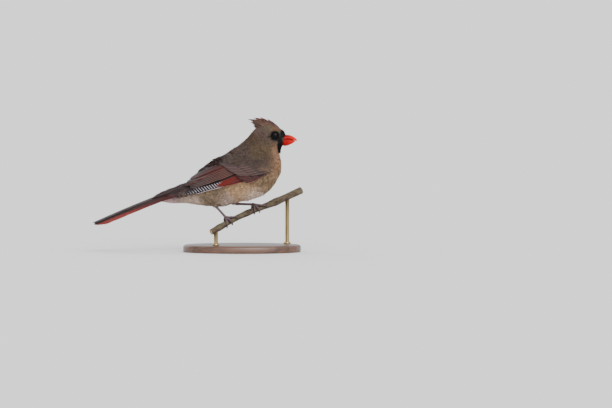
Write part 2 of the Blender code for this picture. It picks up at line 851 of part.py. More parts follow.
def toe_mesh(name, place, toe):
    points = []
    radii = []
    for k in range(TOE_STATIONS):
        share = k / (TOE_STATIONS - 1)
        swell = 1 + TOE_PAD_SWELL * math.sin(share * TOE_PADS * math.pi) ** 2
        radius = toe["radius"] * mixed(*TOE_TAPER, share) * swell
        start_lift = (1 - share) ** 3 * (ANKLE_RISE - toe["radius"] * 1.2)
        height = TOE_CLEAR + radius + start_lift
        points.append(over_perch(place, toe["drift"] * share, toe["turn"] * share, height))
        radii.append(radius)
    return mesh_from_rings(name, tube_rings(points, radii, TOE_SIDES))


def claw_mesh(name, place, toe):
    points = []
    radii = []
    for k in range(CLAW_STATIONS):
        share = k / (CLAW_STATIONS - 1)
        turn = toe["turn"] + math.copysign(CLAW_START + CLAW_TURN * share, toe["turn"])
        radius = mixed(CLAW_RADIUS, CLAW_TIP, share)
        height = TOE_CLEAR + radius + CLAW_ARCH * math.sin(share * math.pi)
        drift = toe["drift"] * (1 + 0.12 * share)
        points.append(over_perch(place, drift, turn, height))
        radii.append(radius)
    return mesh_from_rings(name, tube_rings(points, radii, CLAW_SIDES))


def foot_mesh(name, leg, toes):
    """The ankle's stub and the four toes, one closed shape."""
    ankle = ankle_of(leg)
    heel = Vector(leg["heel"])
    away = (heel - ankle).normalized()
    points = [ankle - away * ANKLE_SUNK, ankle, ankle + away * ANKLE_STUB]
    core = mesh_from_rings(name, tube_rings(points, ANKLE_RADII, LEG_SIDES))
    place = leg["perch_place"]
    pieces = [toe_mesh(f"{name} {key}", place, toe) for key, toe in toes.items()]
    return join_all(name, core, pieces)


def tarsus_mesh(name, leg, grow=0.0):
    ankle = ankle_of(leg)
    heel = Vector(leg["heel"])
    away = (heel - ankle).normalized()
    start = ankle + away * (ANKLE_STUB + GAP)
    end = heel + away * HEEL_REACH
    count = len(TARSUS_RADII)
    points = [start.lerp(end, k / (count - 1)) for k in range(count)]
    if grow:
        points[-1] = points[-1] + away * grow
    return mesh_from_rings(name, tube_rings(points, TARSUS_RADII[::-1], LEG_SIDES, grow))


def thigh_mesh(name, leg, grow=0.0):
    heel = Vector(leg["heel"])
    hip = Vector(leg["hip"])
    end = heel + (hip - heel).normalized() * (TARSUS_RADII[0] + HEEL_ROOM)
    count = len(leg["thigh_radii"])
    points = []
    for k in range(count):
        share = k / (count - 1)
        points.append(hip.lerp(end, share))
    if grow:
        points[0] = points[0] + (points[0] - points[1]).normalized() * grow
        points[-1] = points[-1] + (points[-1] - points[-2]).normalized() * grow
    return mesh_from_rings(name, tube_rings(points, leg["thigh_radii"], LEG_SIDES, grow))


def make_body(parts, cutters):
    last = len(BODY_SECTIONS) - 1
    head = parted(body_mesh("head", 0, 8), HEAD_CUT, True)
    neck = parted(body_mesh("neck", 3, 11), HEAD_CUT, False)
    neck = parted(neck, NECK_CUT, True)
    torso = parted(body_mesh("torso", 5, last), NECK_CUT, False)
    torso = parted(torso, RUMP_CUT, True)
    rump = parted(body_mesh("rump", 10, last), RUMP_CUT, False)
    pieces = crest_vanes()
    for name, side in (("left", 1), ("right", -1)):
        centre = mirrored(EYE_CENTRE, side)
        pieces.append(lid_mesh("lids " + name, centre, side))
    head = join_all("head", head, pieces)
    made = {
        "head": new_object("head", head, parts, COLOURS["head"]),
        "neck": new_object("neck", neck, parts, COLOURS["neck"]),
        "torso": new_object("torso", torso, parts, COLOURS["torso"]),
        "rump": new_object("rump", rump, parts, COLOURS["rump"]),
    }
    for name, side in (("left", 1), ("right", -1)):
        centre = mirrored(EYE_CENTRE, side)
        new_object("eye_" + name, ball_mesh("eye", centre, EYE_RADIUS), parts, COLOURS["eye"], 0.1)
        socket = ball_mesh("socket", centre, EYE_RADIUS + GAP)
        cut_away(made["head"], new_object("socket " + name, socket, cutters))
    for name, leg in LEGS.items():
        for mesh in (thigh_mesh("thigh room", leg, GAP), tarsus_mesh("tarsus room", leg, GAP)):
            cut_away(made["torso"], new_object(f"{mesh.name} {name}", mesh, cutters))
        new_object("thigh_" + name, thigh_mesh("thigh", leg), parts, COLOURS["torso"])
    room = new_object("tail room", tail_block("tail room", TAIL_ROOM, TAIL_ROOM_GAP), cutters)
    cut_away(made["rump"], room)
    return made


def make_bill(parts, cutters, head):
    for name, rows in (("bill_upper", UPPER_BILL), ("bill_lower", LOWER_BILL)):
        half = new_object(name, bill_mesh(name, rows), parts, COLOURS["bill"], 0.35)
        room = new_object(name + " room", bill_mesh(name + " room", rows, GAP), cutters)
        cut_away(head, room)
        if name == "bill_lower":
            continue
        for side in (1, -1):
            pit = ball_mesh("nostril", mirrored(NOSTRIL, side), NOSTRIL_RADIUS, 8, 6)
            cut_away(half, new_object(f"nostril {side}", pit, cutters))


def make_wings(parts):
    for name, side in (("wing_left", 1), ("wing_right", -1)):
        new_object(name, wing_mesh(name, side), parts, COLOURS["wing"])


def make_legs(parts):
    for side, leg in LEGS.items():
        toes = TOES[side]
        new_object("tarsus_" + side, tarsus_mesh("tarsus", leg), parts, COLOURS["leg"], 0.5)
        new_object("foot_" + side, foot_mesh("foot", leg, toes), parts, COLOURS["leg"], 0.5)
        for key, toe in toes.items():
            claw = claw_mesh("claw", leg["perch_place"], toe)
            new_object(f"claw_{side}_{key}", claw, parts, COLOURS["claw"], 0.4)


def make_stand(parts, cutters):
    new_object("perch", perch_mesh("perch"), parts, COLOURS["perch"], 0.9)
    shape = bmesh.new()
    bmesh.ops.create_cone(shape, cap_ends=True, segments=BASE_SEGMENTS, radius1=0.5, radius2=0.5, depth=1.0)
    bmesh.ops.scale(shape, verts=shape.verts, vec=Vector((BASE_LENGTH, BASE_WIDTH, BASE_HEIGHT)) * MM)
    bmesh.ops.translate(shape, verts=shape.verts, vec=UP * BASE_HEIGHT / 2 * MM)
    mesh = bpy.data.meshes.new("stand_base")
    shape.to_mesh(mesh)
    shape.free()
    base = new_object("stand_base", mesh, parts, COLOURS["stand"], 0.4)
    bevel = base.modifiers.new("rounded rim", "BEVEL")
    bevel.width = BASE_BEVEL * MM
    bevel.segments = 2
    bevel.limit_method = "ANGLE"
    bevel.angle_limit = math.radians(60)
    for name, place in ROD_PLACES.items():
        top, _ = perch_at(place)
        foot = Vector((top.x, top.y, BASE_HEIGHT + GAP))
        rings = tube_rings([foot, top], (ROD_RADIUS, ROD_RADIUS), ROD_SIDES)
        rod = new_object("stand_rod_" + name, mesh_from_rings("rod", rings), parts, COLOURS["rod"], 0.3)
        room = new_object("perch room " + name, perch_mesh("perch room", GAP), cutters)
        cut_away(rod, room)


def main():
    for old in list(bpy.data.objects):
        bpy.data.objects.remove(old, do_unlink=True)
    parts = bpy.data.collections.new("northern cardinal")
    cutters = bpy.data.collections.new("cutters")
    for collection in (parts, cutters):
        bpy.context.scene.collection.children.link(collection)
    body = make_body(parts, cutters)
    make_bill(parts, cutters, body["head"])
    make_wings(parts)
    new_object("tail", tail_mesh("tail"), parts, COLOURS["tail"])
    make_legs(parts)
    make_stand(parts, cutters)


main()
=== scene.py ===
import json
import math
import bpy
import numpy as np
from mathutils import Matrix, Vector, noise

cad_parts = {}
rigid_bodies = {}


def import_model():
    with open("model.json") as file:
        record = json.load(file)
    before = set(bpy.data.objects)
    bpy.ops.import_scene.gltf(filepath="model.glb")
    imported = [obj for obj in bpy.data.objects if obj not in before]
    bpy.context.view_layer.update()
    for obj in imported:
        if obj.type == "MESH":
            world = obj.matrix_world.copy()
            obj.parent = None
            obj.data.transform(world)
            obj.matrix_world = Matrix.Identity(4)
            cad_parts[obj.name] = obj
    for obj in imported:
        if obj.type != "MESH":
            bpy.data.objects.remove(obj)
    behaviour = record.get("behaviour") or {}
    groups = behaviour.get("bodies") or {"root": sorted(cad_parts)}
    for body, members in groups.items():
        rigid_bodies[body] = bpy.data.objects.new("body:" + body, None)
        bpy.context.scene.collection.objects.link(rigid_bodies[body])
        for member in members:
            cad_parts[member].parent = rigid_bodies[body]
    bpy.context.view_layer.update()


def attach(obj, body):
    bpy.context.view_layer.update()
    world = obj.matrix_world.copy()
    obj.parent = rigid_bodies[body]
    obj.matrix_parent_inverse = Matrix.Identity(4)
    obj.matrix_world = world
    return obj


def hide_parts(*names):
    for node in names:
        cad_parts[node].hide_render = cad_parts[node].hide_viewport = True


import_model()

# The bird faces +X and its left side is +Y. Lengths are in millimetres until a mesh is made.
mm = 0.001


def mixed(a, b, share):
    return a + (b - a) * share


def eased(value, low, high):
    share = np.clip((value - low) / (high - low), 0, 1)
    return share * share * (3 - 2 * share)


def readRows(rows, place):
    # a smooth curve through all the rows, read at fractional places
    rows = np.asarray(rows, float)
    if rows.ndim == 1:
        rows = rows[:, None]
    place = np.atleast_1d(np.asarray(place, float))
    start = np.clip(place.astype(int), 0, len(rows) - 2)
    f = (place - start)[:, None]
    padded = np.vstack([2 * rows[0] - rows[1], rows, 2 * rows[-1] - rows[-2]])
    a, b, c, d = (padded[start + k] for k in range(4))
    return 0.5 * (2 * b + (c - a) * f + (2 * a - 5 * b + 4 * c - d) * f**2 + (3 * b - a - 3 * c + d) * f**3)


def table(pairs, value):
    # straight lines through (place, value) pairs
    pairs = np.asarray(pairs, float)
    return np.interp(value, pairs[:, 0], pairs[:, 1])


def unit(vectors):
    return vectors / np.maximum(np.linalg.norm(vectors, axis=-1, keepdims=True), 1e-9)


def dots(a, b):
    return np.einsum("ij,ij->i", a, b)[:, None]


def hump(value, width):
    # a smooth bump, which is 1 at zero
    return np.exp(-((value / width) ** 2))


def linear(colour):
    # a screen colour of 0 to 255 as a scene colour
    share = np.asarray(colour, float) / 255
    return np.where(share <= 0.04045, share / 12.92, ((share + 0.055) / 1.055) ** 2.4)


def paint(colour):
    return (*linear(colour), 1)


def withAlpha(colours):
    return np.hstack([colours, np.ones((len(colours), 1))])


def setAttribute(mesh, label, values):
    # the kind of attribute follows from how many numbers each point has
    values = np.asarray(values, np.float32)
    width = 1 if values.ndim == 1 else values.shape[1]
    kind, key = {1: ("FLOAT", "value"), 3: ("FLOAT_VECTOR", "vector"), 4: ("FLOAT_COLOR", "color")}[width]
    layer = mesh.attributes.get(label) or mesh.attributes.new(label, kind, "POINT")
    layer.data.foreach_set(key, values.ravel())


def meshFrom(name, points, faces, attributes=None):
    # points in millimetres, faces as arrays of corners
    mesh = bpy.data.meshes.new(name)
    mesh.vertices.add(len(points))
    mesh.vertices.foreach_set("co", (np.asarray(points) * mm).astype(np.float32).ravel())
    corners = np.concatenate([np.asarray(rows, np.int32).ravel() for rows in faces])
    sizes = np.concatenate([np.full(len(rows), rows.shape[1]) for rows in faces])
    mesh.loops.add(len(corners))
    mesh.loops.foreach_set("vertex_index", corners)
    mesh.polygons.add(len(sizes))
    mesh.polygons.foreach_set("loop_start", np.concatenate([[0], np.cumsum(sizes)[:-1]]).astype(np.int32))
    mesh.polygons.foreach_set("use_smooth", np.ones(len(sizes), bool))
    for label, values in (attributes or {}).items():
        setAttribute(mesh, label, values)
    mesh.update(calc_edges=True)
    mesh.validate()
    return mesh


def outwards(points, faces):
    # turns every face round if the closed shape is inside out
    volume = 0.0
    for rows in faces:
        for k in range(1, rows.shape[1] - 1):
            a, b, c = points[rows[:, 0]], points[rows[:, k]], points[rows[:, k + 1]]
            volume += np.einsum("ij,ij->", a, np.cross(b, c))
    return faces if volume > 0 else [rows[:, ::-1] for rows in faces]


def joinShapes(shapes):
    # (points, faces, attributes) of many closed shapes as one
    points, faces, attributes, start = [], {}, {}, 0
    for shapePoints, shapeFaces, shapeAttributes in shapes:
        for rows in shapeFaces:
            faces.setdefault(rows.shape[1], []).append(rows + start)
        for label, values in shapeAttributes.items():
            attributes.setdefault(label, []).append(values)
        points.append(shapePoints)
        start += len(shapePoints)
    merged = {label: np.concatenate(values) for label, values in attributes.items()}
    return np.concatenate(points), [np.concatenate(rows) for rows in faces.values()], merged


def cells(grid):
    return np.stack([grid[:-1, :-1], grid[:-1, 1:], grid[1:, 1:], grid[1:, :-1]], -1).reshape(-1, 4)


def sheet(top, low):
    # a thin closed shape between two grids of points
    index = np.arange(top.shape[0] * top.shape[1]).reshape(top.shape[:2])
    size = index.size
    rim = np.concatenate([index[0], index[1:, -1], index[-1, -2::-1], index[-2:0:-1, 0]])
    after = np.roll(rim, -1)
    edge = np.stack([after, rim, rim + size, after + size], -1)
    points = np.concatenate([top.reshape(-1, 3), low.reshape(-1, 3)])
    return points, outwards(points, [np.concatenate([cells(index), cells(index + size)[:, ::-1], edge])])


def loft(rings, closed=False):
    # a closed form through rings of equal counts, with filled ends or as a ring of rings
    rings = np.asarray(rings, float)
    count, sides = rings.shape[:2]
    index = np.arange(count * sides).reshape(count, sides)
    index = np.hstack([index, index[:, :1]])
    if closed:
        faces = [cells(np.vstack([index, index[:1]]))]
    else:
        faces = [cells(index), np.stack([index[0, -2::-1], index[-1, :-1]])]
    points = rings.reshape(-1, 3)
    return points, outwards(points, faces), {}


def tubeRings(points, radii, sides):
    points = np.asarray(points, float)
    along = unit(np.gradient(points, axis=0))
    turn = 2 * np.pi * np.arange(sides)[:, None] / sides
    lead = (0, 0, 1) if abs(along[0, 2]) < 0.9 else (1, 0, 0)
    side = np.cross(along[0], lead)
    rings = []
    for k, point in enumerate(points):
        side = unit(side - along[k] * (side @ along[k]))
        other = np.cross(along[k], side)
        rings.append(point + radii[k] * (side * np.cos(turn) + other * np.sin(turn)))
    return np.array(rings)


def lathe(profile, centre, wide, sides):
    # rings round an upright axis from (height, radius) pairs, or an oval where the two widths differ
    turn = 2 * np.pi * np.arange(sides) / sides
    rings = []
    for height, radius in profile:
        x = centre[0] + (wide[0] + radius) * np.cos(turn)
        y = centre[1] + (wide[1] + radius) * np.sin(turn)
        rings.append(np.stack([x, y, turn * 0 + height], -1))
    return loft(rings)


def unrolled(turn, height):
    # a place on the skin unrolled round its length, as a turn and a height of 0 to 1
    return np.stack([np.cos(turn), np.sin(turn), height], -1)


def dropAttributes(mesh, labels):
    for label in labels:
        if label in mesh.attributes:
            mesh.attributes.remove(mesh.attributes[label])


def placed(name, data):
    made = bpy.data.objects.new(name, data)
    bpy.context.scene.collection.objects.link(made)
    return made


def rootMesh(name, points, attributes):
    # loose roots for feathers that are laid one by one
    return meshFrom(name, points, [np.array([(0, 1, 2)])], attributes)


def addPiece(name, shape, replaced=(), finish=None):
    mesh = shape if isinstance(shape, bpy.types.Mesh) else meshFrom(name, *shape)
    piece = placed(name, mesh)
    if finish:
        mesh.materials.clear()
        mesh.materials.append(finish)
    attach(piece, "root")
    if replaced:
        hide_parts(*replaced)
    return piece


def socketOf(sockets, name):
    if isinstance(name, int):
        return sockets[name]
    return next(one for one in sockets if one.name == name and one.enabled)


def link(tree, source, target):
    tree.links.new(socketOf(source[0].outputs, source[1]), target)


def feed(tree, value, target):
    # a value is a number, a colour or the (node, output) that feeds the socket
    if isinstance(value, tuple) and isinstance(value[0], bpy.types.Node):
        link(tree, value, target)
    else:
        target.default_value = value


def addNode(tree, kind, values=None, **settings):
    node = tree.nodes.new(kind)
    for key, value in settings.items():
        setattr(node, key, value)
    for key, value in (values or {}).items():
        feed(tree, value, socketOf(node.inputs, key))
    return node


def maths(tree, operation, a, b=None):
    values = {0: a} if b is None else {0: a, 1: b}
    return addNode(tree, "ShaderNodeMath", values, operation=operation), 0


def blended(tree, factor, first, second):
    return addNode(tree, "ShaderNodeMix", {"Factor": factor, 6: first, 7: second}, data_type="RGBA"), 2


def vectorMaths(tree, operation, a, b=None):
    values = {0: a} if b is None else {0: a, 1: b}
    return addNode(tree, "ShaderNodeVectorMath", values, operation=operation), 0


def scaled(tree, vector, factor):
    return addNode(tree, "ShaderNodeVectorMath", {0: vector, "Scale": factor}, operation="SCALE"), 0


def ranged(tree, value, low, high):
    # a share of 0 to 1 between two values
    return addNode(tree, "ShaderNodeMapRange", {"Value": value, "From Min": low, "From Max": high}), 0


def parted(tree, vector):
    return addNode(tree, "ShaderNodeSeparateXYZ", {"Vector": vector})


def noiseOf(tree, vector, scale, detail, **values):
    inputs = {"Vector": vector, "Scale": scale, "Detail": detail, **values}
    return addNode(tree, "ShaderNodeTexNoise", inputs), "Fac"


def attribute(tree, label, output):
    return addNode(tree, "ShaderNodeAttribute", attribute_name=label), output


def objectPlace(tree):
    return addNode(tree, "ShaderNodeTexCoord"), "Object"


def newGroup(name, kind, inputs, outputs):
    group = bpy.data.node_groups.new(name, kind)
    for label, sort, value in inputs:
        made = group.interface.new_socket(name=label, in_out="INPUT", socket_type="NodeSocket" + sort)
        if value is not None:
            made.default_value = value
    for label, sort in outputs:
        group.interface.new_socket(name=label, in_out="OUTPUT", socket_type="NodeSocket" + sort)
    return group, addNode(group, "NodeGroupInput"), addNode(group, "NodeGroupOutput")


def newMaterial(name, colour, roughness, **sockets):
    finish = bpy.data.materials.new(name)
    finish.use_nodes = True
    shader = finish.node_tree.nodes["Principled BSDF"]
    shader.inputs["Base Color"].default_value = paint(colour)
    shader.inputs["Roughness"].default_value = roughness
    for label, value in sockets.items():
        shader.inputs[label].default_value = value
    return finish, finish.node_tree, shader


def useGroup(tree, group, values):
    return addNode(tree, "ShaderNodeGroup", values, node_tree=group)


def bumped(tree, shader, height, distance, strength=1.0):
    bump = addNode(tree, "ShaderNodeBump", {"Height": height, "Distance": distance, "Strength": strength})
    link(tree, (bump, "Normal"), shader.inputs["Normal"])


def makeFeatherTone():
    # darkens a feather towards its root as painted shade where the feathers above overlap it, and varies its tone
    # from its neighbours
    inputs = [("Colour", "Color", (0.5, 0.5, 0.5, 1)), ("Root Shade", "Float", 0.6), ("Variation", "Float", 0.3)]
    inputs += [("Mottle", "Float", 0.2), ("Mottle Scale", "Float", 400.0)]
    group, given, out = newGroup("featherToneAndRootShade", "ShaderNodeTree", inputs, [("Colour", "Color")])
    mottle = noiseOf(group, objectPlace(group), (given, "Mottle Scale"), 3.0)
    bare = maths(group, "SUBTRACT", 1.0, attribute(group, "along", "Fac"))
    total = maths(group, "SUBTRACT", 1.0, maths(group, "MULTIPLY", bare, (given, "Root Shade")))
    for source, amount in ((attribute(group, "tone", "Fac"), "Variation"), (mottle, "Mottle")):
        part = maths(group, "MULTIPLY", maths(group, "SUBTRACT", source, 0.5), (given, amount))
        total = maths(group, "ADD", total, part)
    link(group, scaled(group, (given, "Colour"), total), out.inputs["Colour"])
    return group


def makeBarbLines():
    # the barbs of a vane, slanting away from its shaft, from a map of millimetres across and along
    inputs = [("Barbs per mm", "Float", 2.6), ("Slant", "Float", 1.3)]
    group, given, out = newGroup("barbLines", "ShaderNodeTree", inputs, [("Height", "Float"), ("Shade", "Float")])
    place = attribute(group, "vane", "Vector")
    split = parted(group, place)
    wobble = noiseOf(group, place, 1.4, 2.0)
    aside = maths(group, "MULTIPLY", maths(group, "ABSOLUTE", (split, "X")), (given, "Slant"))
    path = maths(group, "ADD", maths(group, "SUBTRACT", (split, "Y"), aside), maths(group, "MULTIPLY", wobble, 0.9))
    turns = maths(group, "MULTIPLY", maths(group, "MULTIPLY", path, (given, "Barbs per mm")), 2 * math.pi)
    wave = maths(group, "SINE", turns)
    link(group, wave, out.inputs["Height"])
    shade = maths(group, "ADD", maths(group, "MULTIPLY", wave, 0.035), maths(group, "MULTIPLY", wobble, 0.3))
    link(group, shade, out.inputs["Shade"])
    return group


def makeSpeckle():
    # stretched noise on object coordinates, for bark, wood, horn and skin
    inputs = [("Base", "Color", (0.5, 0.5, 0.5, 1)), ("Spot", "Color", (0.2, 0.2, 0.2, 1)), ("Amount", "Float", 0.5)]
    inputs += [("Scale", "Float", 300.0), ("Stretch", "Vector", (1, 1, 1))]
    group, given, out = newGroup("speckle", "ShaderNodeTree", inputs, [("Colour", "Color"), ("Height", "Float")])
    drawn = vectorMaths(group, "MULTIPLY", objectPlace(group), (given, "Stretch"))
    broad = noiseOf(group, drawn, (given, "Scale"), 6.0, Distortion=0.6)
    amount = maths(group, "MULTIPLY", ranged(group, broad, 0.4, 0.64), (given, "Amount"))
    link(group, blended(group, amount, (given, "Base"), (given, "Spot")), out.inputs["Colour"])
    link(group, broad, out.inputs["Height"])
    return group


featherToneAndRootShade = makeFeatherTone()
barbLines = makeBarbLines()
speckle = makeSpeckle()


def plumageMaterial(name, rootShade, variation, mottle):
    sheen = {"Sheen Weight": 0.07, "Sheen Roughness": 0.5, "Specular IOR Level": 0.12}
    finish, tree, shader = newMaterial(name, (128, 110, 95), 0.8, **sheen)
    values = {"Colour": attribute(tree, "plumage", "Color"), "Root Shade": rootShade, "Variation": variation}
    toned = useGroup(tree, featherToneAndRootShade, {**values, "Mottle": mottle})
    link(tree, (toned, "Colour"), shader.inputs["Base Color"])
    return finish


barForm = {
    # slanting dark bars on the primaries' pale edges: how far apart, slope in the side view, strength near the roots
    "period": 3.1,
    "slope": 0.95,
    "near": 0.35,
    "edge": (-0.85, -0.2),
    "colour": (12, 8, 9),
}


def vaneMaterial(name, barbs):
    gloss = {"Specular IOR Level": 0.2, "Sheen Weight": 0.06}
    finish, tree, shader = newMaterial(name, (110, 80, 76), 0.6, **gloss)
    lines = useGroup(tree, barbLines, {"Barbs per mm": barbs})
    split = parted(tree, objectPlace(tree))
    slant = maths(tree, "ADD", (split, "X"), maths(tree, "MULTIPLY", (split, "Z"), barForm["slope"]))
    wave = maths(tree, "SINE", maths(tree, "MULTIPLY", slant, 2 * math.pi / (barForm["period"] * mm)))
    bar = maths(tree, "MULTIPLY", ranged(tree, wave, *barForm["edge"]), attribute(tree, "barred", "Fac"))
    barred = blended(tree, bar, attribute(tree, "plumage", "Color"), paint(barForm["colour"]))
    values = {"Colour": barred, "Root Shade": 0.0, "Variation": 0.18, "Mottle": 0.16}
    toned = useGroup(tree, featherToneAndRootShade, values)
    lift = maths(tree, "ADD", (lines, "Shade"), 0.85)
    link(tree, scaled(tree, (toned, "Colour"), lift), shader.inputs["Base Color"])
    bumped(tree, shader, (lines, "Height"), 0.00004, 0.35)
    return finish


def speckledMaterial(name, base, spot, amount, scale, roughness, stretch=(1, 1, 1), depth=0.0, **sockets):
    finish, tree, shader = newMaterial(name, base, roughness, **sockets)
    values = {"Base": paint(base), "Spot": paint(spot), "Amount": amount, "Scale": scale, "Stretch": stretch}
    spots = useGroup(tree, speckle, values)
    link(tree, (spots, "Colour"), shader.inputs["Base Color"])
    if depth:
        bumped(tree, shader, (spots, "Height"), depth)
    return finish


bodyForm = {
    # sections from the face to the undertail: top x, top z, bottom x, bottom z, half width
    "sections": (
        (41.6, 111.6, 38.2, 101.9, 4.4), (40.2, 114.9, 36.9, 99.2, 6.7), (36.6, 117.6, 36.1, 96.5, 8.7),
        (31.3, 120.2, 36, 94.2, 10.2), (24.8, 121.7, 36.5, 91.8, 11.2), (17.4, 120.8, 37.2, 89.2, 11.9),
        (11, 116.4, 37.8, 86, 12.8), (4.8, 109.6, 38.1, 82, 14.4), (-2.2, 103.4, 37.9, 77.6, 16.6),
        (-10.5, 97.9, 36.1, 72.4, 18.9), (-19, 91.4, 32, 64.8, 20.6), (-27, 85, 24.5, 56.2, 21.4),
        (-35, 78.6, 12, 50, 21), (-43, 72.6, -3, 46.6, 19.2), (-50.5, 67.6, -19.5, 42.6, 16.4),
        (-57.5, 64, -36, 43.6, 12.7), (-63.5, 61.2, -52, 45.9, 9.6), (-68.5, 58.7, -64, 46.1, 7.4),
        (-73.5, 55.2, -72.5, 47.1, 5.4), (-80.5, 51.4, -80, 48, 2.6),
    ),
    # how boxy the sections are, and how finely the skin is made
    "power": 2.15,
    "sides": 96,
    "ringsPerSection": 6,
    # how deep the skin lies under the coat's tips, by section
    "coatDepth": ((0, 0.5), (2, 0.8), (4, 1.3), (6, 1.7), (9, 2.1), (14, 2.3), (16, 1.7), (18, 1.1), (19, 0.7)),
    "eye": (31.3, 7.3, 110.9),
    "eyeRadius": 3.7,
}
lastSection = len(bodyForm["sections"]) - 1

# The colours of the feather tracts in the side view: x, z, reach and colour.
plumageTracts = {
    "forehead": (38, 116.5, 3, (104, 84, 70)),
    "brow": (32.5, 116.6, 2.2, (128, 84, 56)),
    "crown": (28, 121.5, 6, (117, 101, 80)),
    "hindcrown": (16, 119, 5, (117, 96, 90)),
    "cheek": (24, 110, 7, (87, 69, 60)),
    "nape": (11, 112, 6, (85, 65, 49)),
    "throat": (33, 98, 3.5, (152, 114, 88)),
    "sideOfNeck": (20, 99, 8, (98, 79, 57)),
    "mantle": (0, 98, 9, (86, 70, 62)),
    "back": (-18, 88, 10, (41, 19, 13)),
    "lowerBack": (-38, 78, 9, (78, 64, 60)),
    "rump": (-47, 68, 8, (46, 34, 33)),
    "rumpSide": (-47, 61, 5.5, (50, 34, 34)),
    # painted shadow: the tail's base darkened where the folded wing tips shade it
    "shadowBehindWingTips": (-56, 59.5, 5, (50, 32, 33)),
    "upperTailCoverts": (-66, 56.5, 5.5, (58, 42, 43)),
    "breast": (35, 84, 8, (158, 120, 91)),
    "breastSide": (24, 86, 7, (70, 58, 53)),
    "lowerBreast": (28, 70, 8, (155, 128, 99)),
    "flank": (5, 62, 9, (193, 156, 118)),
    "upperBelly": (14, 53, 7, (246, 221, 204)),
    "rearFlank": (-25, 54, 9, (138, 116, 92)),
    "belly": (-12, 44, 8, (204, 177, 163)),
    "vent": (-43, 47, 7.5, (205, 178, 159)),
    "heel": (-6.8, 45.4, 2.7, (92, 50, 42)),
    "underTailCoverts": (-67, 46.5, 5.5, (227, 187, 186)),
}
faceMask = {
    "colour": (9, 8, 8),
    "softness": 0.7,
    # x, z, x, z and half width of each dark stroke round the eye and the bill's base
    "strokes": (
        (31.6, 110.7, 31.6, 110.7, 4.4), (39.9, 113, 39.4, 111.2, 2.6), (33.4, 107.8, 36, 106.6, 1.5),
        (36.4, 108, 37.2, 103, 1.9), (37, 103, 37, 96.6, 2.5), (27.6, 110.6, 25.2, 109.9, 0.3),
    ),
}


def sectionAt(place):
    rows = readRows(bodyForm["sections"], place)
    return rows[:, 0:2], rows[:, 2:4], rows[:, 4]


def softPower(value, power=2 / bodyForm["power"]):
    return np.sign(value) * np.abs(value) ** power


def bulge(height):
    # how wide the body is at a height of -1 to 1, as a share of its half width
    return (1 - np.abs(height) ** bodyForm["power"]) ** (1 / bodyForm["power"])


def surfaceAt(place, angle):
    # a point of the feathered outline, angle from the back, positive to the left side
    top, bottom, half = sectionAt(place)
    middle = (top + bottom) / 2 + (top - bottom) / 2 * softPower(np.cos(angle))[:, None]
    return np.stack([middle[:, 0], softPower(np.sin(angle)) * half, middle[:, 1]], -1)


def flowAt(place, angle):
    # the way the feathers lie, and the way out of the body
    step, swing = 0.04, 0.02
    behind, ahead = np.minimum(place + step, lastSection), np.maximum(place - step, 0)
    lie = unit(surfaceAt(behind, angle) - surfaceAt(ahead, angle))
    turn = unit(surfaceAt(place, angle + swing) - surfaceAt(place, angle - swing))
    out = unit(np.cross(turn, lie))
    middle = (surfaceAt(place, angle * 0) + surfaceAt(place, angle * 0 + np.pi)) / 2
    return lie, out * np.where(dots(out, surfaceAt(place, angle) - middle) < 0, -1, 1)


def findPlace(x, z, sections=sectionAt, first=0.0):
    # the section that passes through a point of the side view, and how high on it the point lies
    low, high = np.full(len(x), first), np.full(len(x), float(lastSection))
    for _ in range(24):  # each round halves what is left between them
        middle = (low + high) / 2
        top, bottom, _ = sections(middle)
        down = bottom - top
        ahead = down[:, 0] * (z - top[:, 1]) - down[:, 1] * (x - top[:, 0]) > 0
        high, low = np.where(ahead, middle, high), np.where(ahead, low, middle)
    top, bottom, half = sections(low)
    down = bottom - top
    share = ((x - top[:, 0]) * down[:, 0] + (z - top[:, 1]) * down[:, 1]) / (down**2).sum(1)
    return low, np.clip(1 - 2 * share, -1, 1), half


def strokeDistance(x, z, stroke):
    ax, az, bx, bz, half = stroke
    run = np.array([bx - ax, bz - az])
    share = np.clip(((x - ax) * run[0] + (z - az) * run[1]) / max(run @ run, 1e-6), 0, 1)
    return np.hypot(x - ax - run[0] * share, z - az - run[1] * share) - half


def tractColours(tracts, points):
    x, z = points[:, 0], points[:, 2]
    total, colour = np.full((len(points), 1), 1e-6), np.zeros((len(points), 3))
    for tractX, tractZ, reach, shade in tracts.values():
        weight = np.exp(-((x - tractX) ** 2 + (z - tractZ) ** 2) / reach**2)[:, None] + 1e-8
        total += weight
        colour += weight * linear(shade)
    return colour / total


def plumageAt(points):
    # the markings, the same on skin and coat
    x, z, soft = points[:, 0], points[:, 2], faceMask["softness"]
    nearest = np.min([strokeDistance(x, z, stroke) for stroke in faceMask["strokes"]], axis=0)
    dark = (1 - eased(nearest, -soft / 2, soft))[:, None]
    return mixed(tractColours(plumageTracts, points), linear(faceMask["colour"]), dark)


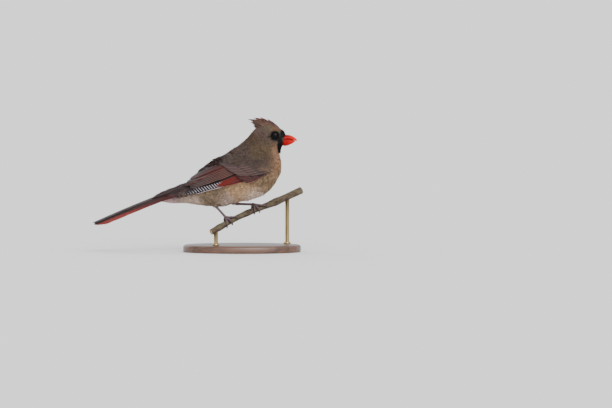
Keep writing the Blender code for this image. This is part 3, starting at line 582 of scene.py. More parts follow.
wingForm = {
    # the arm from the wrist back: top x, top z, bottom x, bottom z
    "arm": (
        (24.5, 82.5, 27, 76.5), (17, 86.5, 20.5, 74), (9, 88.6, 11, 70.3), (0, 89.2, 2, 67.2),
        (-9, 88.4, -7, 65.4), (-16, 86.5, -15, 65),
    ),
    "armThickness": (1.4, 2.5, 2.7, 2.6, 2.2, 1.2),
    "armEnd": 3,
    "armEdge": 0.8,
    "armRings": (40, 24),
    # painted shade: the share of their colour kept on the arm's face, which shows only between the coverts
    "armShade": 0.4,
    # room between body and wing: beside it, over it, and least distance from the middle plane with its share of width
    "room": 0.5,
    "rise": 0.7,
    "innerGap": 1.1,
    "innerShare": 0.1,
    # a vane's thickness, its shaft's ridge, half width and shade, and how it thins towards the tip
    "vaneThickness": 0.42,
    "ridge": 0.16,
    "shaft": 0.1,
    "shaftShade": 0.55,
    "taper": ((0, 1), (0.7, 0.9), (1, 0.35)),
    # splits in a vane's edge: where along it, how long and how deep
    "splitPlace": (0.45, 0.92),
    "splitLength": 0.02,
    "splitDepth": (0.05, 0.16),
    "waver": 0.035,
    "stations": 34,
    "columns": (-1, -0.9, -0.8, -0.74, -0.64, -0.4, -0.2, -0.07, 0, 0.07, 0.3, 0.65, 1),
    "longOutline": ((0, 0.55), (0.12, 0.8), (0.35, 1), (0.68, 1), (0.86, 0.84), (0.95, 0.56), (1, 0.1)),
    "covertOutline": ((0, 0.6), (0.3, 0.95), (0.6, 1), (0.82, 0.86), (0.94, 0.55), (1, 0.12)),
    # a bank of small feathers over the arm: length, lift in degrees, roots, and where it ends behind and at its top
    "covertLength": ((0, 4.2), (0.4, 6), (1, 7.5)),
    "covertLift": 10,
    "covertGrid": (60, 36),
    "covertSink": 0.2,
    "covertSpacing": 1,
    "covertSlant": 1.15,
    "covertEnd": (0.85, 1.05),
    "covertTop": (0.1, 0.22),
    # their tracts: x, z, reach and colour
    "tracts": {
        "scapulars": (2, 88, 7, (72, 56, 46)),
        "rearScapulars": (-12, 86, 7, (75, 61, 54)),
        "shoulder": (20, 84, 6, (66, 53, 44)),
        "lesserCoverts": (12, 81, 6, (72, 57, 51)),
        "wrist": (22, 77, 4, (112, 88, 72)),
        "wristEdge": (12, 71.5, 2.5, (60, 34, 32)),
    },
}

# Rows of wing feathers: roots and tips of the lowest and the highest, and the share of that length each one reaches.
# Tilt and lift are at root and tip, bow of the lowest and the highest; sink lowers the highest ones.
# Bands run across a vane from its lower edge (-1) to its upper one: place, colour near the root, colour further out.
# Between the two shares of the length in change, the first colour turns into the second.
wingRows = {
    "primaries": {
        "count": 9, "roots": ((7, 69.6), (2, 78)), "tips": ((-57, 53.3), (-51.5, 59.4)),
        "reach": (0.80, 0.91, 0.98, 1, 0.985, 0.96, 0.93, 0.91, 0.90), "spread": ((0, 0), (1, 0.24), (8, 1)),
        "halfWidth": 1.5, "tilt": (0.25, 0.72), "lift": (0.95, 1.6), "bow": (1.3, -1.7), "change": (0.45, 0.55),
        "barred": 1,
        "bands": (
            (-1, (125, 33, 19), (214, 204, 210)), (-0.84, (111, 26, 17), (150, 136, 142)),
            (-0.74, (84, 16, 12), (40, 32, 36)), (-0.64, (38, 10, 10), (10, 8, 10)), (1, (28, 14, 14), (10, 8, 10)),
        ),
    },
    "secondaries": {
        "count": 6, "roots": ((1, 79.4), (-3.5, 86)), "tips": ((-49, 61), (-51.5, 65.6)),
        "reach": (1, 0.99, 1, 0.98, 0.99, 1),
        "halfWidth": 1.8, "tilt": (0.2, 0.62), "lift": (1, 1.85), "bow": (-0.3, -0.3), "change": (0.35, 0.8),
        "bands": (
            (-1, (102, 58, 47), (96, 74, 69)), (-0.74, (89, 58, 49), (83, 66, 63)),
            (-0.6, (48, 35, 35), (42, 34, 35)), (1, (42, 35, 35), (33, 29, 30)),
        ),
    },
    "tertials": {
        "count": 3, "roots": ((-5, 87), (-9, 88.6)), "tips": ((-53.4, 62.6), (-45.5, 73.4)),
        "reach": (1, 0.97, 0.92), "sink": 0.42,
        "halfWidth": 3.1, "tilt": (0.1, 0.34), "lift": (1.1, 1.9), "bow": (1.2, 1.2), "change": (0.3, 0.8),
        "bands": (
            (-1, (87, 40, 33), (81, 39, 33)), (-0.84, (62, 26, 21), (59, 26, 22)),
            (-0.2, (50, 21, 18), (45, 19, 16)), (0.65, (41, 14, 13), (26, 9, 7)), (1, (18, 6, 6), (13, 6, 6)),
        ),
    },
    "primaryCoverts": {
        "count": 7, "roots": ((16, 72.5), (11, 77.8)), "tips": ((0.5, 66.4), (-7, 75)),
        "reach": (0.84, 0.9, 0.94, 0.98, 1, 1, 0.98),
        "halfWidth": 1.25, "tilt": (0.15, 0.4), "lift": (1.5, 3.1), "bow": (-0.5, -0.5), "change": (0.3, 0.9),
        "bands": (
            (-1, (114, 28, 23), (97, 34, 28)), (-0.76, (68, 34, 30), (77, 41, 36)),
            (-0.45, (32, 22, 23), (34, 25, 25)), (1, (30, 22, 22), (30, 22, 22)),
        ),
    },
    "greaterCoverts": {
        "count": 9, "roots": ((17, 75.4), (0.5, 87.2)), "tips": ((-7.5, 74.4), (-21, 84)),
        "reach": (0.9, 0.95, 0.98, 1, 1, 1, 1, 0.99, 0.97), "sink": 0.42,
        "halfWidth": 1.8, "tilt": (0.15, 0.36), "lift": (1.7, 3.7), "bow": (0.4, 0.4), "change": (0.3, 0.9),
        "bands": (
            (-1, (82, 60, 56), (93, 73, 69)), (-0.72, (66, 46, 43), (71, 51, 48)),
            (-0.45, (52, 37, 36), (56, 41, 40)), (1, (46, 33, 32), (48, 35, 34)),
        ),
    },
    "medianCoverts": {
        "count": 8, "roots": ((22, 77.4), (7, 88.2)), "tips": ((6.5, 74.2), (-9, 86.4)),
        "reach": (0.94, 0.98, 1, 1, 1, 1, 0.98, 0.96), "sink": 0.42,
        "halfWidth": 1.9, "tilt": (0.1, 0.24), "lift": (1.6, 3.9), "bow": (0.4, 0.4), "change": (0.3, 0.9),
        "bands": (
            (-1, (86, 62, 56), (97, 71, 65)), (-0.7, (66, 45, 41), (72, 50, 46)),
            (-0.4, (52, 38, 36), (54, 40, 38)), (1, (48, 35, 33), (50, 37, 35)),
        ),
    },
    "alula": {
        "count": 3, "roots": ((21.5, 75.4), (19, 76.6)), "tips": ((6.5, 69.9), (5.5, 72)),
        "reach": (0.8, 0.92, 1),
        "halfWidth": 1.2, "tilt": (0.15, 0.35), "lift": (1.3, 3), "bow": (-0.4, -0.4), "change": (0.3, 0.9),
        "bands": (
            (-1, (112, 30, 24), (84, 28, 26)), (-0.7, (54, 26, 26), (56, 28, 27)),
            (-0.45, (28, 20, 21), (30, 22, 22)), (1, (28, 20, 20), (30, 22, 22)),
        ),
    },
}


def wingBed(x, z):
    # how far from the middle plane the inner face of a folded wing lies
    def raised(place):
        top, bottom, half = sectionAt(place)
        return top + unit(top - bottom) * wingForm["rise"], bottom, half + wingForm["room"]

    _, height, half = findPlace(x, z, raised, 5.0)
    return np.maximum(half * bulge(height), wingForm["innerGap"] + wingForm["innerShare"] * half)


def wingPoints(x, z, lift, side):
    # points over the wing's bed, lifted square to it, with the way out
    along = (wingBed(x + 1, z) - wingBed(x - 1, z)) / 2
    rise = (wingBed(x, z + 1) - wingBed(x, z - 1)) / 2
    square = unit(np.stack([-along, np.ones(len(x)), -rise], -1))
    points = np.stack([x, wingBed(x, z), z], -1) + square * np.asarray(lift)[:, None]
    return points * (1, side, 1), square * (1, side, 1)


def bandColours(bands, across, share):
    # colours over a vane: the bands across it near its root and further out, blended along it
    places = [band[0] for band in bands]
    near, far = (
        np.stack([np.interp(across, places, linear([band[which] for band in bands])[:, k]) for k in range(3)], -1)
        for which in (1, 2)
    )
    return mixed(near[None], far[None], share[:, None, None])


def vaneShape(points, normals, across, colours, tone, width, along, barred=0.0):
    # one thin closed feather from a grid of points: stations by columns
    stations, columns = points.shape[:2]
    across = np.asarray(across, float)
    shares = np.linspace(0, 1, stations)
    body = (0.3 + 0.7 * (1 - np.abs(across) ** 1.5)) * wingForm["vaneThickness"] / 2
    shaft = hump(across, wingForm["shaft"])
    ridge = shaft * wingForm["ridge"]
    taper = table(wingForm["taper"], shares)[:, None, None]
    top = points + normals * (body + ridge)[:, None] * taper
    low = points - normals * (body + ridge * 0.4)[:, None] * taper
    colours = colours * (1 - wingForm["shaftShade"] * shaft[None, :, None])
    flat = np.zeros(stations * columns)
    vane = np.stack([np.tile(across * width, stations), np.repeat(along, columns), flat], -1)
    attributes = {
        "plumage": withAlpha(np.tile(colours.reshape(-1, 3), (2, 1))),
        "vane": np.tile(vane, (2, 1)),
        "tone": np.tile(flat + tone, 2),
        "along": np.tile(np.repeat(shares, columns), 2),
        "barred": np.tile(flat + np.repeat(barred + shares * 0, columns), 2),
    }
    return *sheet(top, low), attributes


def notched(widths, shares, chance, count):
    # splits between barbs here and there
    for _ in range(count):
        split = hump(shares - chance.uniform(*wingForm["splitPlace"]), wingForm["splitLength"])
        widths = widths * (1 - chance.uniform(*wingForm["splitDepth"]) * split)
    return widths


def wingVanes(side, chance):
    shapes = []
    across = np.array(wingForm["columns"], float)
    shares = np.linspace(0, 1, wingForm["stations"])
    ramp = np.minimum(1.0, shares * 2)
    grid = (len(shares), len(across), 3)
    for key, row in wingRows.items():
        long = key in ("primaries", "secondaries", "tertials")
        outline = wingForm["longOutline" if long else "covertOutline"]
        for k in range(row["count"]):
            share = table(row.get("spread", ((0, 0), (row["count"] - 1, 1))), k)
            root, tip = (mixed(*np.array(row[end]), share) for end in ("roots", "tips"))
            line = (tip - root) * row["reach"][k] * chance.uniform(0.985, 1.005)
            square = unit(np.array([line[1], -line[0]]))
            bow = mixed(*row["bow"], share) * 4 * shares * (1 - shares)
            centres = root + line * shares[:, None] + square * bow[:, None]
            waver = 1 + wingForm["waver"] * np.sin(shares * 23 + k * 1.7)
            widths = row["halfWidth"] * table(outline, shares) * waver
            aside = notched(widths, shares, chance, 2 if long else 1)[:, None] * across
            spots = centres[:, None, :] + square * aside[..., None]
            lift = mixed(*row["lift"], ramp)[:, None] - mixed(*row["tilt"], ramp)[:, None] * aside
            lift = lift * (1 - row.get("sink", 0.0) * share**3)
            points, normals = wingPoints(spots[..., 0].ravel(), spots[..., 1].ravel(), lift.ravel(), side)
            change = eased(shares + chance.uniform(-0.03, 0.03), *row["change"])
            colours = bandColours(row["bands"], across, change)
            length = shares * np.linalg.norm(line)
            tone = chance.uniform(0.2, 0.8)
            points, normals = points.reshape(grid), normals.reshape(grid)
            barred = row.get("barred", 0.0) * (k > 0) * mixed(barForm["near"], 1.0, change)
            shapes.append(vaneShape(points, normals, across, colours, tone, row["halfWidth"], length, barred))
    return shapes


def armGrid(side, rings, across, last, lift=None):
    # the outer face of the wing's arm, or a face at a given lift over its bed
    places = np.linspace(0, last, rings)
    rows = readRows(wingForm["arm"], places)
    share = np.linspace(0, 1, across)
    x, z = (mixed(rows[:, k : k + 1], rows[:, k + 2 : k + 3], share) for k in (0, 1))
    thick = readRows(wingForm["armThickness"], places)
    height = mixed(wingForm["armEdge"], thick, 1 - np.abs(2 * share - 1) ** 3) if lift is None else x * 0 + lift
    points, normals = wingPoints(x.ravel(), z.ravel(), height.ravel(), side)
    return points.reshape(rings, across, 3), normals.reshape(rings, across, 3)


def wingArm(side):
    outer, inner = (armGrid(side, *wingForm["armRings"], wingForm["armEnd"], lift)[0] for lift in (None, 0.0))
    points, faces, _ = loft(np.concatenate([inner, outer[:, ::-1]], axis=1))
    flat = np.zeros(len(points))
    # the arm's tract colours darkened as painted shade between and under the coverts
    colours = withAlpha(tractColours(wingForm["tracts"], points) * wingForm["armShade"])
    attributes = {"plumage": colours, "vane": np.zeros((len(points), 3)), "tone": flat + 0.5, "along": flat + 1}
    return points, faces, {**attributes, "barred": flat}


def layArmCoat(name, side, shapes, finish):
    # small coverts and scapulars over the arm, up to where the long coverts start
    rings, across = wingForm["covertGrid"]
    grid, normals = armGrid(side, rings, across, len(wingForm["arm"]) - 1)
    quads = cells(np.arange(rings * across).reshape(rings, across))
    points, out = grid.reshape(-1, 3), normals.reshape(-1, 3)
    lie = unit(np.gradient(grid, axis=0)).reshape(-1, 3)
    lie = unit(lie - out * dots(lie, out))
    lift = math.radians(wingForm["covertLift"])
    share = np.repeat(np.linspace(0, 1, rings), across)
    down = np.tile(np.linspace(0, 1, across), rings)
    behind = eased(share + wingForm["covertSlant"] * down, *wingForm["covertEnd"])
    attributes = {
        "lie": lie * math.cos(lift) + out * math.sin(lift),
        "out": out,
        "size": table(wingForm["covertLength"], share) * mm,
        "around": unrolled(down * 3, share * 0.9),
        "cover": 1 - np.minimum(behind, eased(down, *wingForm["covertTop"])),
        "plumage": withAlpha(tractColours(wingForm["tracts"], points)),
    }
    faces = [quads if side < 0 else quads[:, ::-1]]
    mesh = meshFrom(name + "Roots", points - out * wingForm["covertSink"], faces, attributes)
    values = {"Spacing": wingForm["covertSpacing"] * mm, "Ruffle": 0.05, "Seed": 21}
    layFeathers(name, mesh, "wing_feathers", shapes["round"], finish, **values)


def makeWings(shapes, vaneFinish, coatFinish):
    for label, side, seed in (("Left", 1, 3), ("Right", -1, 4)):
        shape = joinShapes([wingArm(side), *wingVanes(side, np.random.default_rng(seed))])
        addPiece("wing" + label, shape, ("wing_" + label.lower(),), vaneFinish)
        layArmCoat("wingCoverts" + label, side, shapes, coatFinish)


tailForm = {
    "root": (-54, 0, 60.25),
    "tip": (-140.6, 0, 24.9),
    # how far its middle rises over the straight line
    "arch": 0.85,
    # half widths, how soon it widens, how far its sides hang below its ridge, how round the ridge is
    "rootHalf": 8.4,
    "tipHalf": 12.7,
    "widening": 1.25,
    "roof": 3.9,
    "ridge": 3,
    "stack": 3.3,
    # share of the length that each pair reaches, and how far out the middle pair goes
    "reach": (1, 0.995, 0.985, 0.97, 0.945, 0.91),
    "innerPair": 7.2,
    # how far the roof feather goes past the middle, the others' distance from it, and the place of their shafts
    "overlap": 4.2,
    "clear": 0.35,
    "shaftShare": 0.62,
    # depth of the top layer, and from each layer to the next
    "topDepth": 0.25,
    "layerDepth": 0.46,
    "waver": 0.012,
    "start": 0.015,
    "barbMap": (4, 85),
    "stations": 44,
    "columns": (-1, -0.6, -0.25, -0.07, 0, 0.07, 0.3, 0.45, 0.6, 0.85, 0.93, 1),
    "outline": ((0, 0.85), (0.12, 1), (0.86, 1), (0.94, 0.88), (0.98, 0.62), (1, 0.15)),
    # how far out each pair turns red, from the middle pair to the outermost
    "change": ((0.9, 1.5), (0.8, 1.1), (0.6, 1), (0.35, 0.85), (0.25, 0.75), (0.25, 0.7)),
    "bands": (
        (-1, (58, 46, 46), (34, 14, 13)), (0.45, (64, 50, 50), (50, 20, 18)), (0.6, (66, 44, 44), (112, 34, 28)),
        (0.85, (70, 30, 28), (140, 44, 38)), (0.93, (84, 32, 28), (178, 84, 74)), (1, (34, 14, 13), (44, 12, 11)),
    ),
    # the middle pairs, which roof the tail: how many, where they darken and their bands
    "roofPairs": 2,
    "roofChange": (0.35, 0.75),
    "roofBands": ((-1, (60, 48, 48), (38, 18, 17)), (0.9, (56, 42, 42), (34, 15, 14)), (1, (30, 22, 22), (16, 8, 8))),
    "coverts": {
        "length": (12, 17), "colour": (58, 43, 43), "shares": (-0.05, 0.22), "rows": 5, "inRow": 8,
        "half": 7.5, "shift": (0.02, 0.9), "sink": 0.1, "lift": 0.035, "width": 0.55,
    },
}
tailLine = np.array(tailForm["tip"]) - np.array(tailForm["root"])


def tailPoints(share, edge, drop):
    # share of the length, distance from the middle at full width and depth in the stack
    down = unit(np.array([-tailLine[2], 0.0, tailLine[0]]))
    bend = np.hypot(1, tailForm["ridge"] * edge / tailForm["tipHalf"]) - 1
    roof = tailForm["roof"] * bend / (math.hypot(1, tailForm["ridge"]) - 1)
    wide = np.minimum(1.0, np.maximum(0.0, share) * tailForm["widening"])
    spread = mixed(tailForm["rootHalf"] / tailForm["tipHalf"], 1.0, wide)
    depth = drop + roof - (tailForm["stack"] + tailForm["roof"]) / 2 - tailForm["arch"] * 4 * share * (1 - share)
    aside = np.stack([edge * 0, edge * spread, edge * 0], -1)
    return tailForm["root"] + tailLine * share[:, None] + down * depth[:, None] + aside


def tailOut(share, edge):
    across = tailPoints(share, edge + 0.5, edge * 0) - tailPoints(share, edge - 0.5, edge * 0)
    square = unit(np.cross(across, tailLine))
    return square * np.where(square[:, 2:] < 0, -1, 1)


def tailVane(side, pair, layer, chance):
    across = np.array(tailForm["columns"], float)
    shares = np.linspace(0, 1, tailForm["stations"])
    outer = mixed(tailForm["innerPair"], tailForm["tipHalf"], pair / (len(tailForm["reach"]) - 1))
    inner = -tailForm["overlap"] if pair == 0 else tailForm["clear"]
    end = tailForm["reach"][pair] * chance.uniform(0.995, 1.0)
    place = np.repeat(mixed(tailForm["start"], end, shares), len(across))
    waver = 1 + tailForm["waver"] * np.sin(shares * 31 + pair * 2.1 + side)
    widths = table(tailForm["outline"], shares) * waver
    middle = mixed(inner, outer, tailForm["shaftShare"])
    edges = np.where(across < 0, middle + (middle - inner) * across, middle + (outer - middle) * across)
    edge = (side * (middle + (edges - middle) * notched(widths, shares, chance, 2)[:, None])).ravel()
    points = tailPoints(place, edge, edge * 0 + layer * tailForm["layerDepth"] + tailForm["topDepth"])
    grid = (len(shares), len(across), 3)
    bands, change = tailForm["bands"], tailForm["change"][pair]
    if pair < tailForm["roofPairs"]:
        bands, change = tailForm["roofBands"], tailForm["roofChange"]
    colours = bandColours(bands, across, eased(shares, *change))
    points, normals = points.reshape(grid), tailOut(place, edge).reshape(grid)
    wide, long = tailForm["barbMap"]
    return vaneShape(points, normals, across, colours, chance.uniform(0.2, 0.8), wide, shares * long)


def makeTail(shapes, finish, coatFinish):
    chance = np.random.default_rng(31)
    vanes = [tailVane(-1, 0, 0, chance)]
    vanes += [
        tailVane(side, pair, pair + 1, chance)
        for pair in range(len(tailForm["reach"]))
        for side in (-1, 1)
        if pair or side > 0
    ]
    addPiece("tailFeathers", joinShapes(vanes), ("tail",), finish)
    form = tailForm["coverts"]
    total = form["rows"] * form["inRow"]
    back, aside = form["shift"]
    share = np.repeat(np.linspace(*form["shares"], form["rows"]), form["inRow"]) + chance.uniform(-back, back, total)
    edge = np.tile(np.linspace(-form["half"], form["half"], form["inRow"]), form["rows"])
    edge = edge + chance.uniform(-aside, aside, total)
    points = tailPoints(share, edge, edge * 0 - form["sink"])
    out = tailOut(share, edge)
    attributes = {
        "lie": unit(unit(tailLine) + out * form["lift"]),
        "out": out,
        "size": mixed(*form["length"][::-1], share / share.max()) * mm,
        "around": unrolled(edge / 8, 0.8 + share / 2),
        "plumage": withAlpha(linear(form["colour"]) * chance.uniform(0.75, 1.2, (total, 1))),
    }
    mesh = rootMesh("tailCovertRoots", points, attributes)
    values = {"At Points": True, "Ruffle": 0.03, "Seed": 9, "Width": form["width"]}
    layFeathers("tailCoverts", mesh, "tail_feathers", shapes["round"], coatFinish, **values)


leafForm = {
    # small vanes one unit long: stations before the last, widths, arch and half thickness
    "stations": (-0.06, 0.14, 0.42),
    "widths": (0.2, 0.66, 1, 0.72),
    "arch": 0.06,
    "thick": 0.008,
    # barbs round the margin: how far back the fan reaches and its curve, half width and ridge
    "fan": (0.34, 1.6),
    "barbHalf": 0.026,
    "barbRidge": 0.016,
    # blades of a tuft: arch, spread at the root and ridge
    "bladeArch": 0.05,
    "bladeRoot": 0.07,
    "bladeRidge": 0.7,
    "variants": 4,
}
featherKinds = {
    # vane share of the length, half width, barbs, their length, camber and how the tip bends back
    "round": {"vane": 0.76, "half": 0.25, "barbs": 13, "barb": 0.26, "camber": 0.05, "bend": 0.12},
    "narrow": {"vane": 0.8, "half": 0.085, "barbs": 9, "barb": 0.2, "camber": 0.02, "bend": 0.06},
}
tuftKinds = {
    "down": {"blades": 8, "spread": 0.34, "width": 0.036, "bend": 0.14},
    "hair": {"blades": 7, "spread": 0.26, "width": 0.042, "bend": 0.13},
    "face": {"blades": 5, "spread": 0.3, "width": 0.06, "bend": 0.12},
}


def leafShape(kind, chance):
    # a small vane whose margin breaks up into barbs, one unit long along x
    stations = np.array([*leafForm["stations"], kind["vane"]])
    widths = np.array(leafForm["widths"]) * kind["half"] * chance.uniform(0.9, 1.1)

    def lay(x, y):
        run = np.clip(x, 0, 1)
        arch = leafForm["arch"] * np.sin(run * np.pi)
        return kind["camber"] * (1 - (y / kind["half"]) ** 2) + arch - kind["bend"] * run**2

    x, y = np.repeat(stations[:, None], 3, 1), widths[:, None] * np.array([-1.0, 0.0, 1.0])
    flat = np.stack([x, y, lay(x, y)], -1)
    thick = (0, 0, leafForm["thick"])
    shapes = [(*sheet(flat + thick, flat - thick), {})]
    reach, curve = leafForm["fan"]
    for k in range(kind["barbs"]):
        turn = (k / (kind["barbs"] - 1) * 2 - 1) + chance.uniform(-0.06, 0.06)
        rootX = kind["vane"] - reach * abs(turn) ** curve
        rootY = np.interp(rootX, stations, widths) * 0.85 * turn
        length = kind["barb"] * (1 - 0.35 * abs(turn)) * chance.uniform(0.75, 1.1)
        heading = turn * 0.75 + chance.uniform(-0.08, 0.08)
        tipX, tipY = rootX + length * math.cos(heading), rootY + length * math.sin(heading) * 0.8
        half, back = leafForm["barbHalf"] * chance.uniform(0.8, 1.2), rootX - 0.05
        level = lay(back, rootY)
        tip = (tipX, tipY, lay(tipX, rootY) + chance.uniform(-0.012, 0.02))
        ridge = (back, rootY, level + leafForm["barbRidge"])
        points = np.array([(back, rootY - half, level), (back, rootY + half, level), ridge, tip])
        shapes.append((points, outwards(points, [np.array([(0, 1, 2), (0, 3, 1), (1, 3, 2), (2, 3, 0)])]), {}))
    return joinShapes(shapes)


def tuftShape(kind, chance):
    # soft blades from one root
    faces = [(0, 1, 2), (0, 3, 1), (1, 3, 4), (1, 4, 2), (2, 4, 5), (2, 5, 0), (0, 5, 3)]
    faces += [(3, 6, 4), (4, 6, 5), (5, 6, 3)]
    shapes = []
    for k in range(kind["blades"]):
        turn = (k + 0.5) / kind["blades"] * 2 - 1
        heading = turn * kind["spread"] + chance.uniform(-0.05, 0.05)
        length = (1 - 0.3 * abs(turn)) * chance.uniform(0.72, 1.05)
        rise = chance.uniform(-0.02, 0.07)
        half = kind["width"] * chance.uniform(0.8, 1.2)
        points = []
        for share, size in ((-0.05, half), (0.5, half * 0.8), (1.0, 0)):
            x = share * length * math.cos(heading)
            y = turn * leafForm["bladeRoot"] + share * length * math.sin(heading)
            run = max(share, 0)
            z = rise * share + leafForm["bladeArch"] * math.sin(run * math.pi) - kind["bend"] * run**2
            ridge = (x, y, z + size * leafForm["bladeRidge"])
            points += [(x, y - size, z), (x, y + size, z), ridge] if size else [(x, y, z)]
        points = np.array(points)
        shapes.append((points, outwards(points, [np.array(faces)]), {}))
    return joinShapes(shapes)


def makeFeatherShapes():
    chance = np.random.default_rng(12)
    sets = {}
    for maker, kinds in ((leafShape, featherKinds), (tuftShape, tuftKinds)):
        for name, kind in kinds.items():
            sets[name] = bpy.data.collections.new(name + "Feathers")
            for k in range(leafForm["variants"]):
                points, faces, _ = maker(kind, chance)
                along = np.clip(points[:, 0], 0, 1)
                leafMap = np.stack([points[:, 1] + 0.5, along, along * 0], -1)
                mesh = meshFrom(f"{name}{k}", points / mm, faces, {"leafMap": leafMap, "along": along})
                sets[name].objects.link(bpy.data.objects.new(f"{name}{k}", mesh))
    return sets


def makeCoatTree():
    # roots spread over an emitter, or taken at its points, each grown into a feather that follows the lie
    inputs = [("Geometry", "Geometry", None), ("Feathers", "Collection", None), ("Finish", "Material", None)]
    inputs += [("Spacing", "Float", 0.0015), ("Width", "Float", 1.0), ("Ruffle", "Float", 0.08)]
    inputs += [("At Points", "Bool", False), ("Patch Size", "Float", 0.003), ("Seed", "Int", 1)]
    tree, given, out = newGroup("layFeathers", "GeometryNodeTree", inputs, [("Geometry", "Geometry")])

    def named(label, kind="FLOAT_VECTOR"):
        return addNode(tree, "GeometryNodeInputNamedAttribute", {"Name": label}, data_type=kind), "Attribute"

    def chance(kind, low, high, shift):
        seed = maths(tree, "ADD", (given, "Seed"), float(shift))
        values = {"Min": low, "Max": high, "Seed": seed}
        return addNode(tree, "FunctionNodeRandomValue", values, data_type=kind), "Value"

    def kept(geometry, label, value, kind, domain):
        values = {"Geometry": geometry, "Name": label, "Value": value}
        return addNode(tree, "GeometryNodeStoreNamedAttribute", values, data_type=kind, domain=domain), "Geometry"

    values = {"Mesh": (given, "Geometry"), "Distance Min": (given, "Spacing"), "Seed": (given, "Seed")}
    values |= {"Density Factor": named("cover", "FLOAT"), "Density Max": 2.0e7}
    spread = addNode(tree, "GeometryNodeDistributePointsOnFaces", distribute_method="POISSON")
    for key, value in values.items():
        feed(tree, value, spread.inputs[key])
    atPoints = addNode(tree, "GeometryNodeMeshToPoints", {"Mesh": (given, "Geometry")})
    values = {"Switch": (given, "At Points"), "False": (spread, "Points"), "True": (atPoints, "Points")}
    roots = addNode(tree, "GeometryNodeSwitch", values, input_type="GEOMETRY")
    jitter = scaled(tree, chance("FLOAT_VECTOR", (-1.0, -1.0, -1.0), (1.0, 1.0, 1.0), 3), (given, "Ruffle"))
    values = {"Primary Axis": vectorMaths(tree, "ADD", named("lie"), jitter), "Secondary Axis": named("out")}
    turned = addNode(tree, "FunctionNodeAxesToRotation", values, primary_axis="X", secondary_axis="Z")
    size = maths(tree, "MULTIPLY", named("size", "FLOAT"), chance("FLOAT", 0.84, 1.12, 5))
    wide = maths(tree, "MULTIPLY", size, (given, "Width"))
    scale = addNode(tree, "ShaderNodeCombineXYZ", {"X": size, "Y": wide, "Z": size})
    values = {"Collection": (given, "Feathers"), "Separate Children": True, "Reset Children": True}
    shapes = addNode(tree, "GeometryNodeCollectionInfo", values)
    values = {"Points": (roots, "Output"), "Instance": (shapes, "Instances"), "Pick Instance": True}
    values |= {"Instance Index": chance("INT", 0, leafForm["variants"] - 1, 7)}
    values |= {"Rotation": (turned, "Rotation"), "Scale": (scale, "Vector")}
    grown = addNode(tree, "GeometryNodeInstanceOnPoints", values), "Instances"
    toned = kept(grown, "tone", chance("FLOAT", 0.0, 1.0, 9), "FLOAT", "INSTANCE")
    real = addNode(tree, "GeometryNodeRealizeInstances", {"Geometry": toned}), "Geometry"
    # each tuft's patch of the map sits at its root's place on the skin unrolled round its length
    around = parted(tree, named("around"))
    turn = maths(tree, "ARCTAN2", (around, "Y"), (around, "X"))
    centre = {"X": maths(tree, "ADD", maths(tree, "DIVIDE", turn, 2 * math.pi), 0.5), "Y": (around, "Z")}
    leaf = parted(tree, named("leafMap"))
    for axis in ("X", "Y"):
        shift = maths(tree, "MULTIPLY", maths(tree, "SUBTRACT", (leaf, axis), 0.5), (given, "Patch Size"))
        centre[axis] = maths(tree, "ADD", centre[axis], shift)
    patch = addNode(tree, "ShaderNodeCombineXYZ", centre), "Vector"
    mapped = kept(real, "OFBake", patch, "FLOAT2", "CORNER")
    smooth = addNode(tree, "GeometryNodeSetShadeSmooth", {"Geometry": mapped, "Shade Smooth": True}), "Geometry"
    finished = addNode(tree, "GeometryNodeSetMaterial", {"Geometry": smooth, "Material": (given, "Finish")})
    link(tree, (finished, "Geometry"), out.inputs["Geometry"])
    return tree


coatTree = makeCoatTree()
rootLabels = ("lie", "out", "size", "around", "cover", "leafMap")


def evaluated(host, **options):
    bpy.context.view_layer.update()
    graph = bpy.context.evaluated_depsgraph_get()
    return bpy.data.meshes.new_from_object(host.evaluated_get(graph), depsgraph=graph, **options)


def triangles(mesh):
    return sum(len(face.vertices) - 2 for face in mesh.polygons)


def layFeathers(name, emitter, slot, feathers, finish, **sizes):
    # runs the tree on a mesh of roots and keeps the result as a plain mesh
    host = placed(name + "Roots", emitter)
    modifier = host.modifiers.new("coat", "NODES")
    modifier.node_group = coatTree
    values = {"Feathers": feathers, "Finish": finish, **sizes}
    for item in coatTree.interface.items_tree:
        if item.item_type == "SOCKET" and item.in_out == "INPUT" and item.name in values:
            modifier[item.identifier] = values[item.name]
    mesh = evaluated(host, preserve_all_data_layers=True)
    mesh.name = name
    bpy.data.objects.remove(host)
    dropAttributes(mesh, rootLabels)
    addPiece(name, mesh)
    print(f"{name}: {triangles(mesh)} triangles")


